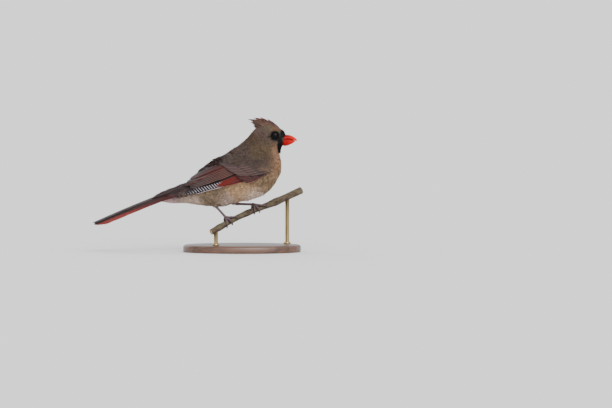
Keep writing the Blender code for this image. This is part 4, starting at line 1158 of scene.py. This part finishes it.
coatForm = {
    # feather length, and lift from the skin in degrees, by section
    "length": (
        (0, 1.5), (1.5, 2.1), (3, 2.9), (4.5, 3.9), (6, 5), (8, 6.6),
        (10, 7.8), (14, 8.6), (16, 9), (18, 6.5), (19, 5),
    ),
    "lift": ((0, 16), (2, 17), (5, 16), (8, 14), (14, 13), (17, 8), (19, 4)),
    # kind of feather, spacing of roots, ruffle, sections and how low and high each region reaches
    "regions": {
        "faceCoat": ("face", 0.5, 0.10, (-1, 3.1), (-2, 2), "face_feathers"),
        "headCoat": ("hair", 0.62, 0.08, (3.1, 6.6), (-2, 2), "face_feathers"),
        "neckCoat": ("down", 0.98, 0.08, (6.6, 9.4), (-2, 2), "body_feathers"),
        "backCoat": ("round", 1.2, 0.05, (9.4, 20), (0.1, 2), "body_feathers"),
        "flankCoat": ("down", 1.05, 0.10, (9.4, 13.6), (-2, 0.1), "body_feathers"),
        "ventCoat": ("down", 1, 0.09, (13.6, 20), (-2, 0.1), "body_feathers"),
    },
    # where a folded wing hides the coat, in the side view
    "underWing": (
        (20, 80), (14, 84), (4, 86), (-12, 84), (-24, 80), (-40, 73),
        (-50, 64), (-48, 60), (-20, 65), (0, 70), (14, 75),
    ),
    # along this line, round the front and the top of the wing, raised feathers lap over its edge
    "lapLine": ((17, 72), (27.5, 75.5), (25.5, 83), (17.5, 88), (6, 90.5), (-8, 90.5), (-18, 87.5), (-30, 82)),
    "lapReach": 4.5,
    "lapLift": 15,
    "lapLength": 0.45,
    # round the heels and the eyes the feathers are shorter and lie closer: from, to, length and lift that are lost
    "nearHeel": (9, 3, 0.55, 0.5),
    "nearEye": (4, 7.5, 0.4, 0.5),
    "bareEye": 3.7,
    # how strongly the feathers turn away from the eye, and how far from the middle plane the wing starts to hide them
    "eyeTurn": 1.15,
    "underWingFrom": 4,
    # how far each region runs on under the next: along the body and in height
    "overlap": (0.05, 0.03),
    # a fuller tuft under the bill: stroke, extra length and lift
    "chin": (37.5, 102, 36.8, 98.5, 1.8),
    "chinLength": 0.55,
    "chinLift": 20,
}


def insidePolygon(x, z, corners):
    inside = np.zeros(len(x), bool)
    for (ax, az), (bx, bz) in zip(corners, corners[1:] + corners[:1]):
        crosses = (az > z) != (bz > z)
        inside ^= crosses & (x < (bx - ax) * (z - az) / ((bz - az) or 1e-9) + ax)
    return inside


def skinShape():
    sides, perSection = bodyForm["sides"], bodyForm["ringsPerSection"]
    rings = lastSection * perSection + 1
    place = np.repeat(np.arange(rings) / perSection, sides)
    angle = np.tile(2 * np.pi * np.arange(sides) / sides, rings)
    _, out = flowAt(place, angle)
    points = surfaceAt(place, angle) - out * table(bodyForm["coatDepth"], place)[:, None]
    return loft(points.reshape(rings, sides, 3))


legForm = {
    "left": {"hip": (-10, 8.4, 57), "heel": (-5.7, 8.2, 45.4), "perchPlace": 3.85, "thigh": (5.4, 4.4, 3.4, 2.9)},
    "right": {"hip": (-28, -9, 54), "heel": (-24.4, -8.6, 43.4), "perchPlace": 1.6, "thigh": (5.4, 4, 2, 1.5)},
    "ankleRise": 2.4,
    "gap": 0.4,
    # along the shank from the toes: share and radius, then how finely it is made
    "shank": ((0, 1.3), (0.06, 1.62), (0.14, 1.28), (0.3, 1.14), (0.75, 1.12), (0.93, 1.5), (1, 1)),
    "steps": 70,
    "sides": 24,
    "scutes": 11,
    "thighSteps": 16,
    "thighSides": 32,
}


def thighShape(leg):
    heel, hip = np.array(leg["heel"]), np.array(leg["hip"])
    shares = np.linspace(0, 1, legForm["thighSteps"])
    centres = hip + (heel + unit(hip - heel) * 1.2 - hip) * shares[:, None]
    radii = readRows(leg["thigh"], shares * (len(leg["thigh"]) - 1))[:, 0]
    return loft(tubeRings(centres, radii, legForm["thighSides"]))


def bodySkin(finish):
    # body and thighs fused into one closed skin
    whole = placed("skinBody", meshFrom("skinBody", *skinShape()))
    helpers = bpy.data.collections.new("skinPieces")
    bpy.context.scene.collection.children.link(helpers)
    for side in ("left", "right"):
        helpers.objects.link(bpy.data.objects.new(side, meshFrom(side, *thighShape(legForm[side]))))
    join = whole.modifiers.new("fuse", "BOOLEAN")
    join.operation, join.solver, join.operand_type, join.collection = "UNION", "MANIFOLD", "COLLECTION", helpers
    mesh = evaluated(whole)
    for spare in [*helpers.objects, whole]:
        bpy.data.objects.remove(spare)
    bpy.data.collections.remove(helpers)
    dressRoots(mesh)
    mesh.polygons.foreach_set("use_smooth", np.ones(len(mesh.polygons), bool))
    shown = mesh.copy()
    dropAttributes(shown, rootLabels)
    addPiece("skin", shown, ("head", "neck", "torso", "rump", "thigh_left", "thigh_right"), finish)
    return mesh


def readPoints(mesh, key="co"):
    values = np.zeros(len(mesh.vertices) * 3)
    mesh.vertices.foreach_get(key, values)
    return values.reshape(-1, 3)


def dressRoots(mesh):
    # what each root needs: the lie, the way out, the feather's length, its place and its colour
    points = readPoints(mesh) / mm
    normals = unit(readPoints(mesh, "normal"))
    x, z = points[:, 0], points[:, 2]
    place, height, _ = findPlace(x, z)
    cosine = np.clip(softPower(height, bodyForm["power"] / 2), -1, 1)
    angle = np.arccos(cosine) * np.where(points[:, 1] < 0, -1, 1)
    lie, _ = flowAt(np.clip(place, 0.05, lastSection - 0.05), angle)
    lie = unit(lie - normals * dots(lie, normals))
    size = table(coatForm["length"], place)
    lift = table(coatForm["lift"], place)
    for side in ("left", "right"):  # round the thigh the coat runs down the leg
        heel, hip = np.array(legForm[side]["heel"]), np.array(legForm[side]["hip"])
        far, close, short, flat = coatForm["nearHeel"]
        near = eased(np.linalg.norm(points - heel, axis=1), far, close)
        lie = unit(mixed(lie, unit(heel - hip) + np.array([-0.8, 0, 0]), near[:, None]))
        size, lift = size * (1 - short * near), lift * (1 - flat * near)
    toEye = np.stack([bodyForm["eye"][0] - x, x * 0, bodyForm["eye"][2] - z], -1)
    distance = np.linalg.norm(toEye, axis=1)
    close, far, short, flat = coatForm["nearEye"]
    nearEye = 1 - eased(distance, close, far)
    towards = unit(toEye)
    lie = unit(lie - towards * np.maximum(dots(lie, towards), 0) * nearEye[:, None] * coatForm["eyeTurn"])
    lie = unit(lie - normals * dots(lie, normals))
    chin = 1 - eased(strokeDistance(x, z, coatForm["chin"]), 0.0, 1.0)
    size, lift = size * (1 + chin * coatForm["chinLength"]), lift + chin * coatForm["chinLift"]
    line = coatForm["lapLine"]
    lap = np.min([strokeDistance(x, z, (*a, *b, 0.0)) for a, b in zip(line, line[1:])], axis=0)
    lap = 1 - eased(lap, coatForm["lapReach"] * 0.4, coatForm["lapReach"])
    lift = np.radians(lift + lap * coatForm["lapLift"]) * (1 - flat * nearEye)
    size = size * (1 - short * nearEye) * (1 + lap * coatForm["lapLength"])
    hidden = insidePolygon(x, z, coatForm["underWing"]) & (np.abs(points[:, 1]) > coatForm["underWingFrom"])
    hidden |= distance < coatForm["bareEye"]
    attributes = {
        "lie": lie * np.cos(lift)[:, None] + normals * np.sin(lift)[:, None],
        "out": normals,
        "size": size * mm,
        "around": unrolled(angle, 0.03 + place / lastSection * 0.94),
        "cover": 1.0 - hidden,
        "plumage": withAlpha(plumageAt(points)),
        # a fixed share along, so that the root shade darkens the skin: painted shade under the coat
        "along": x * 0 + 0.4,
        "tone": x * 0 + 0.5,
    }
    for label, values in attributes.items():
        setAttribute(mesh, label, values)


def layCoat(mesh, shapes, finishes):
    points = readPoints(mesh) / mm
    place, height, _ = findPlace(points[:, 0], points[:, 2])
    along, over = coatForm["overlap"]
    cover = np.zeros(len(points), np.float32)
    mesh.attributes["cover"].data.foreach_get("value", cover)
    for name, (kind, spacing, ruffle, (first, last), (low, high), slot) in coatForm["regions"].items():
        here = (place >= first - along) & (place <= last + along) & (height >= low - over) & (height <= high + over)
        emitter = mesh.copy()
        dropAttributes(emitter, ("tone", "along"))
        setAttribute(emitter, "cover", cover * here)
        values = {"Spacing": spacing * mm, "Ruffle": ruffle, "Seed": len(name)}
        layFeathers(name, emitter, slot, shapes[kind], finishes[slot], **values)


crestForm = {
    # root x, root z, tip x, tip z, how many, radius of the fold at roots and tips, least reach
    "rows": (
        (35, 116.1, 24, 127, 49, 2.8, 2.1, 0.82), (32.9, 117.6, 17, 128.6, 55, 3.3, 1.7, 0.86),
        (30, 119.2, 11, 127.9, 55, 3.6, 1.2, 0.88), (27, 119.4, 5.4, 127, 55, 3.8, 1, 0.88),
        (22.5, 119.5, 7.6, 123.6, 49, 3.8, 1.6, 0.8), (17.5, 118.5, 10.2, 120.5, 38, 3.4, 1.9, 0.8),
    ),
    "fold": 82,
    "sideShort": 0.16,
    # how far roots stray along the head, and its slope there
    "shift": 2.2,
    "slope": 0.15,
    "width": 0.36,
    "red": (108, 18, 12),
    "brown": (98, 73, 62),
    # height and tip at which the red sets in, how soon it is full, and how closely it keeps to the ridge
    "redFrom": (123, 14),
    "redOver": (5, 20),
    "redFold": 9,
}


def layCrest(shapes, finish):
    chance = np.random.default_rng(8)
    found = []
    (redHeight, redTip), (up, back) = crestForm["redFrom"], crestForm["redOver"]
    for rootX, rootZ, tipX, tipZ, count, rootRadius, tipRadius, least in crestForm["rows"]:
        for k in range(count):
            fold = math.radians(crestForm["fold"] * (2 * (k + chance.uniform(0.1, 0.9)) / count - 1))
            aside = np.array([0.0, math.sin(fold), math.cos(fold) - 1])
            reach = (1 - crestForm["sideShort"] * math.sin(fold) ** 2) * chance.uniform(least, 1.0)
            shift = chance.uniform(-1, 1) * crestForm["shift"]
            root = np.array([rootX + shift, 0, rootZ - shift * crestForm["slope"]])
            root = root + aside * rootRadius * chance.uniform(0.75, 1)
            line = (np.array([tipX, 0, tipZ]) + aside * tipRadius - root) * reach
            tip = root + line
            redness = np.clip((tip[2] - redHeight) / up + (redTip - tip[0]) / back, 0, 1)
            redness = redness * math.cos(fold) ** crestForm["redFold"]
            shade = mixed(linear(crestForm["brown"]), linear(crestForm["red"]), redness * chance.uniform(0.4, 1.0))
            out = (0.0, math.sin(fold), math.cos(fold))
            found.append((root, unit(line), out, np.linalg.norm(line) * mm, shade))
    roots, lies, outs, sizes, shades = (np.array(values) for values in zip(*found))
    turn = np.arange(len(roots)) / len(roots)
    attributes = {"lie": lies, "out": outs, "size": sizes, "plumage": withAlpha(shades)}
    attributes["around"] = unrolled(turn * 6, 0.1 + turn * 0.8)
    mesh = rootMesh("crestRoots", roots, attributes)
    values = {"At Points": True, "Ruffle": 0.03, "Seed": 5, "Width": crestForm["width"]}
    layFeathers("crestFeathers", mesh, "face_feathers", shapes["narrow"], finish, **values)


billForm = {
    # sections of each half: top x, top z, bottom x, bottom z, half width
    "upper": (
        (38.2, 110.3, 37.4, 106.9, 4.3), (41, 111.3, 39.4, 107.1, 4.7), (43.4, 111.4, 42, 107.5, 4.3),
        (46.2, 110.8, 44.8, 107.5, 3.4), (48.9, 109.6, 47.8, 106.9, 2.4), (51.2, 107.9, 50.3, 106.1, 1.2),
        (52.5, 106.2, 52.1, 105.5, 0.25),
    ),
    "lower": (
        (37.2, 106.6, 37.6, 102.8, 4.1), (39.5, 106.9, 39.8, 100.8, 4.4), (42.1, 107.3, 42.7, 101, 3.9),
        (44.8, 107.3, 45.4, 102, 3), (47.3, 106.7, 47.9, 103.2, 1.9), (49.8, 106, 49.9, 104.6, 0.8),
        (50.8, 105.7, 50.8, 105.3, 0.2),
    ),
    "lining": (
        (38, 107.4, 38, 106.2, 3.7), (42, 107.7, 42.3, 106.8, 3.6), (45.5, 107.7, 45.6, 106.8, 2.4),
        (49.2, 106.6, 49.2, 105.9, 0.9),
    ),
    "sides": 40,
    "steps": 14,
    # how round the halves are, and the nostril: x, z, reach, depth and the reach of its painted shade
    "roundness": 0.85,
    "nostril": (41.4, 109.9, 0.7, 0.9, 0.45),
    "base": (138, 0, 3),
    "tip": (224, 16, 2),
    # the colour of the painted shade in the gape and the nostril
    "dark": (46, 2, 3),
    # where along the bill the base's colour turns into the tip's
    "change": (43.5, 52.5),
    # the line of the gape, darkened on both halves as painted shade in the crease between them
    "gape": ((37, 106.8), (42, 107.4), (45, 107.3), (47.6, 106.8), (49.8, 106.1), (51.2, 105.8)),
    "gapeReach": 0.6,
    "gapeShade": 0.8,
    "mouth": (84, 22, 20),
    "mouthSpot": (50, 14, 14),
}


def billShape(key):
    rows = billForm[key]
    made = readRows(rows, np.linspace(0, len(rows) - 1, (len(rows) - 1) * billForm["steps"] + 1))
    half = np.pi * (np.arange(billForm["sides"] + 1) / billForm["sides"] - 0.5)
    rings = []
    for topX, topZ, bottomX, bottomZ, wide in made:
        top, bottom = np.array([topX, 0, topZ]), np.array([bottomX, 0, bottomZ])
        if key == "lining":
            turn = 2 * half[:-1]
            ring = (top + bottom) / 2 + (top - bottom) / 2 * np.cos(turn)[:, None]
        else:
            turn = half
            crown, flat = (top, bottom) if key == "upper" else (bottom, top)
            ring = flat + (crown - flat) * (np.cos(turn) ** billForm["roundness"])[:, None]
        ring[:, 1] = wide * np.sin(turn)
        rings.append(ring)
    points, faces, _ = loft(rings)
    # painted shade along the gape, and in the nostril's hollow on the upper half
    overGape = points[:, 2] - table(billForm["gape"], points[:, 0])
    dark = hump(overGape, billForm["gapeReach"]) * billForm["gapeShade"]
    if key == "upper":
        x, z, reach, depth, dim = billForm["nostril"]
        hole = np.hypot(points[:, 0] - x, (points[:, 2] - z) * 1.5)
        dip = hump(hole, reach) * (np.abs(points[:, 1]) > 1.0) * depth
        points[:, 1] -= np.sign(points[:, 1]) * dip
        dark = np.maximum(dark, hump(hole, dim))
    return points, faces, {"dark": dark}


def makeBill():
    horn = {"Coat Weight": 0.04, "Coat Roughness": 0.3, "Specular IOR Level": 0.1}
    finish, tree, shader = newMaterial("billHorn", billForm["base"], 0.4, **horn)
    start, end = (place * mm for place in billForm["change"])
    along = ranged(tree, (parted(tree, objectPlace(tree)), "X"), start, end)
    grain = noiseOf(tree, objectPlace(tree), 260.0, 4.0)
    total = maths(tree, "ADD", along, maths(tree, "MULTIPLY", maths(tree, "SUBTRACT", grain, 0.5), 0.55))
    horned = blended(tree, total, paint(billForm["base"]), paint(billForm["tip"]))
    # the painted shade of the gape and the nostril over the horn's colour
    horned = blended(tree, attribute(tree, "dark", "Fac"), horned, paint(billForm["dark"]))
    link(tree, horned, shader.inputs["Base Color"])
    bumped(tree, shader, grain, 0.00012, 0.5)
    for half in ("upper", "lower"):
        addPiece("bill" + half.capitalize(), billShape(half), ("bill_" + half,), finish)
    mouth = speckledMaterial("mouthSkin", billForm["mouth"], billForm["mouthSpot"], 0.5, 900.0, 0.6)
    addPiece("mouthLining", billShape("lining"), (), mouth)


eyeForm = {
    "iris": (12, 7, 6),
    "pupil": (3, 2, 2),
    "pupilRadius": 1.75,
    "lid": (7, 6, 6),
    "lidSpot": (16, 13, 13),
    # rows of the lids: reach from the eye's middle, share of the face's level and lift
    "lids": (
        (2.95, 0, 0.02), (3.02, 0, 0.24), (3.14, 0, 0.32), (3.28, 0.15, 0.26), (3.45, 0.5, 0.2), (3.62, 0.9, 0.12),
        (3.78, 1, 0.02), (3.78, 1, -0.4), (3.4, 0.3, -0.5), (2.95, 0, -0.4),
    ),
    "steps": 72,
    "ballSteps": (33, 64),
    # how flat the eyeball is, and how far its lids end above the skin
    "flat": 0.86,
    "overSkin": 0.35,
    "edgeWidth": 0.08,
}


def lidShape(centre, side):
    # bare lids from the eyeball out to the face, with a beaded rim
    turn = 2 * np.pi * np.arange(eyeForm["steps"]) / eyeForm["steps"]
    beads = 1 + 0.07 * np.sin(turn * 23) + 0.12 * np.sin(turn * 2 + 0.6)
    ball = centre[1] * side + eyeForm["flat"] * math.sqrt(bodyForm["eyeRadius"] ** 2 - eyeForm["lids"][0][0] ** 2)
    rows = []
    for reach, share, lift in eyeForm["lids"]:
        x, z = centre[0] + reach * np.cos(turn), centre[2] + reach * np.sin(turn)
        place, height, half = findPlace(x, z)
        face = half * bulge(height)
        face -= table(bodyForm["coatDepth"], place) - eyeForm["overSkin"]
        level = np.maximum(mixed(ball, face, share), face if lift > 0 else 0)
        rows.append(np.stack([x, side * (level + lift * beads), z], -1))
    return loft(np.stack(rows, 1), closed=True)


def makeEyes():
    dry = {"depth": 0.0001, "Specular IOR Level": 0.08}
    lidFinish = speckledMaterial("eyelidSkin", eyeForm["lid"], eyeForm["lidSpot"], 0.5, 1500.0, 0.9, **dry)
    wet = {"Coat Weight": 0.06, "Coat Roughness": 0.04, "Specular IOR Level": 0.08}
    finish, tree, shader = newMaterial("eyeSurface", eyeForm["iris"], 0.12, **wet)
    x, _, z = bodyForm["eye"]
    flat = vectorMaths(tree, "SUBTRACT", objectPlace(tree), (x * mm, 0, z * mm))
    flat = vectorMaths(tree, "MULTIPLY", flat, (1, 0, 1))
    radius = vectorMaths(tree, "LENGTH", flat)[0], "Value"
    rim, width = eyeForm["pupilRadius"] * mm, eyeForm["edgeWidth"] * mm
    share = ranged(tree, radius, rim - width, rim + width)
    link(tree, blended(tree, share, paint(eyeForm["pupil"]), paint(eyeForm["iris"])), shader.inputs["Base Color"])
    rings, sides = eyeForm["ballSteps"]
    polar, turn = np.linspace(0.02, np.pi - 0.02, rings)[:, None], 2 * np.pi * np.arange(sides) / sides
    ball = [np.sin(polar) * np.cos(turn), np.cos(polar) + turn * 0, np.sin(polar) * np.sin(turn)]
    for label, side in (("Left", 1), ("Right", -1)):
        centre = np.array(bodyForm["eye"]) * (1, side, 1)
        shape = loft(np.stack(ball, -1) * (1, eyeForm["flat"], 1) * bodyForm["eyeRadius"] + centre)
        addPiece("eye" + label, shape, ("eye_" + label.lower(),), finish)
        addPiece("eyelids" + label, lidShape(centre, side), (), lidFinish)


perchForm = {
    # axis of the branch: x, y, z and radius
    "line": (
        (-29, -16.4, 19.6, 2.9), (-20, -11.8, 24.6, 2.8), (-8.4, -5.6, 30.9, 2.75), (4.2, 1, 36.6, 2.75),
        (14, 6.2, 40.4, 2.8), (28.6, 13.9, 45.6, 3), (42.8, 21.4, 51.6, 3.3), (56, 28.4, 57.4, 3.5),
    ),
    "knots": ((0.9, 0.5), (3.1, 0.45), (5.2, 0.7)),
    "knotReach": 0.35,
    "spacing": 13,
    "rings": 240,
    "sides": 56,
    "roughness": 0.14,
    # the cut ends: share of the radius and how far the wood stands out
    "ends": ((1, 0), (0.93, 0.28), (0.6, 0.3), (0.3, 0.28), (0.02, 0.26)),
    "bark": (80, 65, 51),
    "barkDark": (38, 30, 24),
    "lichen": (96, 90, 68),
    "wood": (190, 164, 124),
    "woodDark": (150, 122, 86),
}


def perchAt(place):
    row = readRows(perchForm["line"], place)
    swell = [size * hump(place - knot, perchForm["knotReach"]) for knot, size in perchForm["knots"]]
    return row[:, :3], row[:, 3] + sum(swell)


def overPerch(place, drift, turn, height):
    # points over the bark: drift along it, turn round it from the top
    place = np.atleast_1d(place + np.asarray(drift) / perchForm["spacing"])
    point, radius = perchAt(place)
    ahead, _ = perchAt(np.minimum(place + 0.1, len(perchForm["line"]) - 1))
    along = unit(ahead - point)
    up = unit(np.array([0.0, 0.0, 1.0]) - along * along[:, 2:3])
    near = np.cross(up, along)
    near *= np.where(near[:, 1:2] > 0, -1, 1)
    angle = np.radians(np.broadcast_to(turn, place.shape))[:, None]
    return point + (up * np.cos(angle) + near * np.sin(angle)) * (radius + height)[:, None]


def makePerch():
    centres, radii = perchAt(np.linspace(0, len(perchForm["line"]) - 1, perchForm["rings"]))
    rings = tubeRings(centres, radii, perchForm["sides"])
    for ring, centre in zip(rings, centres):
        for n, point in enumerate(ring):
            spot = Vector(point)
            streaks = abs(noise.noise(Vector((spot.x * 0.35, spot.y * 1.6, spot.z * 1.6))))
            ridge = noise.noise(spot * 0.9) * 0.5 + noise.noise(spot * 2.4) * 0.3 - streaks * 0.5
            ring[n] += unit(point - centre) * (ridge * perchForm["roughness"] - 0.05)
    ends = []
    for k, inward in ((0, 1), (len(rings) - 1, len(rings) - 2)):
        tilt = unit(centres[k] - centres[inward])
        ends.append([centres[k] + (rings[k] - centres[k]) * share + tilt * lift for share, lift in perchForm["ends"]])
    shape = loft(np.concatenate([ends[0][::-1], rings[1:-1], ends[1]]))
    looks = {"scale": 9.0, "roughness": 0.85, "stretch": (18.0, 60.0, 60.0), "depth": 0.0005}
    bark = speckledMaterial("bark", perchForm["bark"], perchForm["barkDark"], 0.85, **looks)
    tree = bark.node_tree
    shader = tree.nodes["Principled BSDF"]
    shader.inputs["Specular IOR Level"].default_value = 0.25
    plain = shader.inputs["Base Color"].links[0].from_socket
    # black and white patches, as a mask for the lichen
    patches = {"Base": (0, 0, 0, 1), "Spot": (1, 1, 1, 1), "Amount": 0.55, "Scale": 130.0}
    patches = useGroup(tree, speckle, patches)
    mossy = blended(tree, (patches, "Colour"), (0, 0, 0, 1), paint(perchForm["lichen"]))
    tree.links.new(plain, mossy[0].inputs[6])
    link(tree, mossy, shader.inputs["Base Color"])
    mesh = meshFrom("perchBranch", *shape)
    mesh.materials.append(bark)
    mesh.materials.append(speckledMaterial("cutWood", perchForm["wood"], perchForm["woodDark"], 0.7, 900.0, 0.7))
    capFaces = (len(perchForm["ends"]) - 2) * perchForm["sides"]
    marks = np.zeros(len(mesh.polygons), np.int32)
    marks[:capFaces] = marks[-capFaces - 2 :] = 1
    mesh.polygons.foreach_set("material_index", marks)
    addPiece("perchBranch", mesh, ("perch",))


toeForm = {
    # turn round the perch in degrees, drift along it and radius
    "left": {
        "inner": (100, -3.2, 0.95),
        "middle": (118, 2.6, 1.05),
        "outer": (80, 8.6, 0.95),
        "hind": (-112, -0.8, 1.1),
    },
    "right": {
        "inner": (62, 7.4, 0.95),
        "middle": (122, 2, 1.05),
        "outer": (104, -3.6, 0.95),
        "hind": (-112, -1, 1.1),
    },
    "scutes": 9,
    "scuteDepth": 0.13,
    "sides": 20,
    "steps": 46,
    "clawTurn": (7, 66),
    "clawRadius": (0.75, 0.1),
    "clawSteps": 18,
    "clawSides": 14,
    "skin": (74, 52, 55),
    "scale": (52, 36, 40),
    "horn": (34, 28, 28),
    "hornSpot": (72, 58, 54),
}


def scuted(shares, count):
    # overlapping plates: each starts proud and sinks to the next
    return toeForm["scuteDepth"] * (0.5 - (shares * count) % 1.0)


def toeShape(place, toe):
    turn, drift, thick = toe
    shares = np.linspace(0, 1, toeForm["steps"])
    radius = thick * mixed(1.12, 0.82, shares) * (1 + 0.12 * np.sin(shares * 3 * np.pi) ** 2)
    lift = (1 - shares) ** 3 * (legForm["ankleRise"] - thick * 1.2)
    centres = overPerch(place, drift * shares, turn * shares, legForm["gap"] + radius + lift)
    radius = radius + scuted(shares, toeForm["scutes"])
    radius[0], radius[-1] = radius[0] * 0.7, radius[-1] * 0.75
    return loft(tubeRings(centres, radius, toeForm["sides"]))


def clawShape(place, toe):
    turn, drift, _ = toe
    shares = np.linspace(0, 1, toeForm["clawSteps"])
    radius = mixed(*toeForm["clawRadius"], shares**0.9)
    height = legForm["gap"] + radius + 0.5 * np.sin(shares * np.pi)
    turn = turn + math.copysign(1, turn) * mixed(*toeForm["clawTurn"], shares)
    centres = overPerch(place, drift * (1 + 0.12 * shares), turn, height)
    return loft(tubeRings(centres, radius, toeForm["clawSides"]))


def makeLegs():
    skin = speckledMaterial("legSkin", toeForm["skin"], toeForm["scale"], 0.75, 900.0, 0.5, depth=0.00012)
    horn = speckledMaterial("clawHorn", toeForm["horn"], toeForm["hornSpot"], 0.5, 700.0, 0.3)
    shares = np.linspace(0, 1, legForm["steps"])
    for side in ("left", "right"):
        leg, label = legForm[side], side.capitalize()
        ankle = overPerch(leg["perchPlace"], 0.0, 0.0, np.array([legForm["gap"] + legForm["ankleRise"] - 0.1]))[0]
        heel = np.array(leg["heel"])
        away = unit(heel - ankle)
        centres = mixed(ankle - away, heel + away * 0.9, shares[:, None])
        radii = table(legForm["shank"], shares) + scuted(shares, legForm["scutes"]) * eased(shares, 0.1, 0.2)
        shapes = [loft(tubeRings(centres, radii, legForm["sides"]))]
        shapes += [toeShape(leg["perchPlace"], toe) for toe in toeForm[side].values()]
        addPiece("foot" + label, joinShapes(shapes), ("tarsus_" + side, "foot_" + side), skin)
        claws = joinShapes([clawShape(leg["perchPlace"], toe) for toe in toeForm[side].values()])
        addPiece("claws" + label, claws, [f"claw_{side}_{key}" for key in toeForm[side]], horn)


standForm = {
    # the oval base: half widths, and its edge as heights and distances out from them
    "half": (56, 39),
    "sides": 160,
    "edge": ((0, -0.7), (0.6, -0.1), (1, 0), (4.8, 0), (5.6, -0.25), (6.3, -0.75), (6.8, -1.6), (7, -2.8)),
    # the rods: places along the branch, and the edge of their feet as heights and radii
    "rods": {"rear": 0.5, "front": 6},
    "rodEdge": ((7, 3.5), (7.9, 3.5), (8.4, 3.1), (8.7, 2)),
    "rodRadius": 2,
    "rodSides": 48,
    "wood": (92, 60, 42),
    "woodDark": (56, 36, 26),
    "brass": (190, 168, 120),
    "brassDark": (146, 124, 82),
}


def makeStand():
    polish = {"Coat Weight": 0.3, "Coat Roughness": 0.3}
    looks = {"scale": 16.0, "roughness": 0.38, "stretch": (1.6, 14.0, 14.0), "depth": 0.00006, **polish}
    wood = speckledMaterial("standWood", standForm["wood"], standForm["woodDark"], 0.9, **looks)
    base = lathe(standForm["edge"], (0, 0), standForm["half"], standForm["sides"])
    addPiece("standBase", base, ("stand_base",), wood)
    looks = {"scale": 240.0, "roughness": 0.32, "stretch": (1, 1, 0.1), "Metallic": 1.0}
    brass = speckledMaterial("standBrass", standForm["brass"], standForm["brassDark"], 0.5, **looks)
    for label, place in standForm["rods"].items():
        centre = perchAt(np.array([place]))[0][0]
        edge = (*standForm["rodEdge"], (centre[2], standForm["rodRadius"]))
        rod = lathe(edge, centre, (0, 0), standForm["rodSides"])
        addPiece("standRod" + label.capitalize(), rod, ("stand_rod_" + label,), brass)


stageForm = {
    "imageSize": (612, 408),
    "millimetresPerPixel": 0.95,
    # the column over the stand's centre and the row of the floor under it
    "centreColumn": 242,
    "groundRow": 252,
    "lens": 400,
    "sensor": 36,
    "elevation": 2.5,
    "floor": 60,
    "floorColour": (226, 225, 222),
    "sky": (226, 229, 234),
    "skyStrength": 1.35,
    # strength, width in degrees and the way to each light
    "lights": {
        "key": (2.9, 50, (0.35, -0.9, 0.7)),
        "fill": (1.8, 90, (0.1, -1, 0)),
        "rim": (0.7, 60, (-0.6, 0.7, 0.7)),
    },
}


def makeStage():
    form, world = stageForm, bpy.data.worlds.new("studio")
    half = form["floor"]
    mesh = bpy.data.meshes.new("floor")
    mesh.from_pydata([(-half, -half, 0), (half, -half, 0), (half, half, 0), (-half, half, 0)], [], [(0, 1, 2, 3)])
    floor = placed("floor", mesh)
    mesh.materials.append(newMaterial("floorPaper", form["floorColour"], 0.9)[0])
    world.use_nodes = True
    world.node_tree.nodes["Background"].inputs["Color"].default_value = paint(form["sky"])
    world.node_tree.nodes["Background"].inputs["Strength"].default_value = form["skyStrength"]
    bpy.context.scene.world = world
    for name, (strength, spread, direction) in form["lights"].items():
        light = bpy.data.lights.new(name, "SUN")
        light.energy = strength
        light.angle = math.radians(spread)
        lamp = placed(name, light)
        lamp.rotation_euler = Vector(direction).to_track_quat("Z", "Y").to_euler()
    step, (wide, high) = form["millimetresPerPixel"] * mm, form["imageSize"]
    camera = bpy.data.cameras.new("camera")
    camera.lens, camera.sensor_width = form["lens"], form["sensor"]
    camera.clip_start, camera.clip_end = 0.1, 200.0
    rise = math.radians(form["elevation"])
    back = Vector((0.0, -math.cos(rise), math.sin(rise)))
    aim = Vector(((wide / 2 - form["centreColumn"]) * step, 0.0, (form["groundRow"] - high / 2) * step))
    view = placed("camera", camera)
    view.location = aim + back * (wide * step * form["lens"] / form["sensor"])
    view.rotation_euler = back.to_track_quat("Z", "Y").to_euler()
    bpy.context.scene.camera = view


def main():
    print("stage, stand and perch")
    makeStage()
    makeStand()
    makePerch()
    print("feather shapes")
    shapes = makeFeatherShapes()
    bodyFinish = plumageMaterial("bodyPlumage", 0.45, 0.22, 0.2)
    faceFinish = plumageMaterial("facePlumage", 0.35, 0.16, 0.14)
    print("skin and coat")
    # the skin shows the plumage's colours darkened by a strong root shade: painted shade under the coat
    skin = bodySkin(plumageMaterial("skinPlumage", 0.6, 0.0, 0.3))
    layCoat(skin, shapes, {"face_feathers": faceFinish, "body_feathers": bodyFinish})
    layCrest(shapes, faceFinish)
    print("wings and tail")
    makeWings(shapes, vaneMaterial("wingVanes", 2.6), bodyFinish)
    makeTail(shapes, vaneMaterial("tailVanes", 2.2), bodyFinish)
    print("bill, eyes and legs")
    makeBill()
    makeEyes()
    makeLegs()
    for group in shapes.values():
        for shape in list(group.objects):
            bpy.data.objects.remove(shape)
        bpy.data.collections.remove(group)


main()
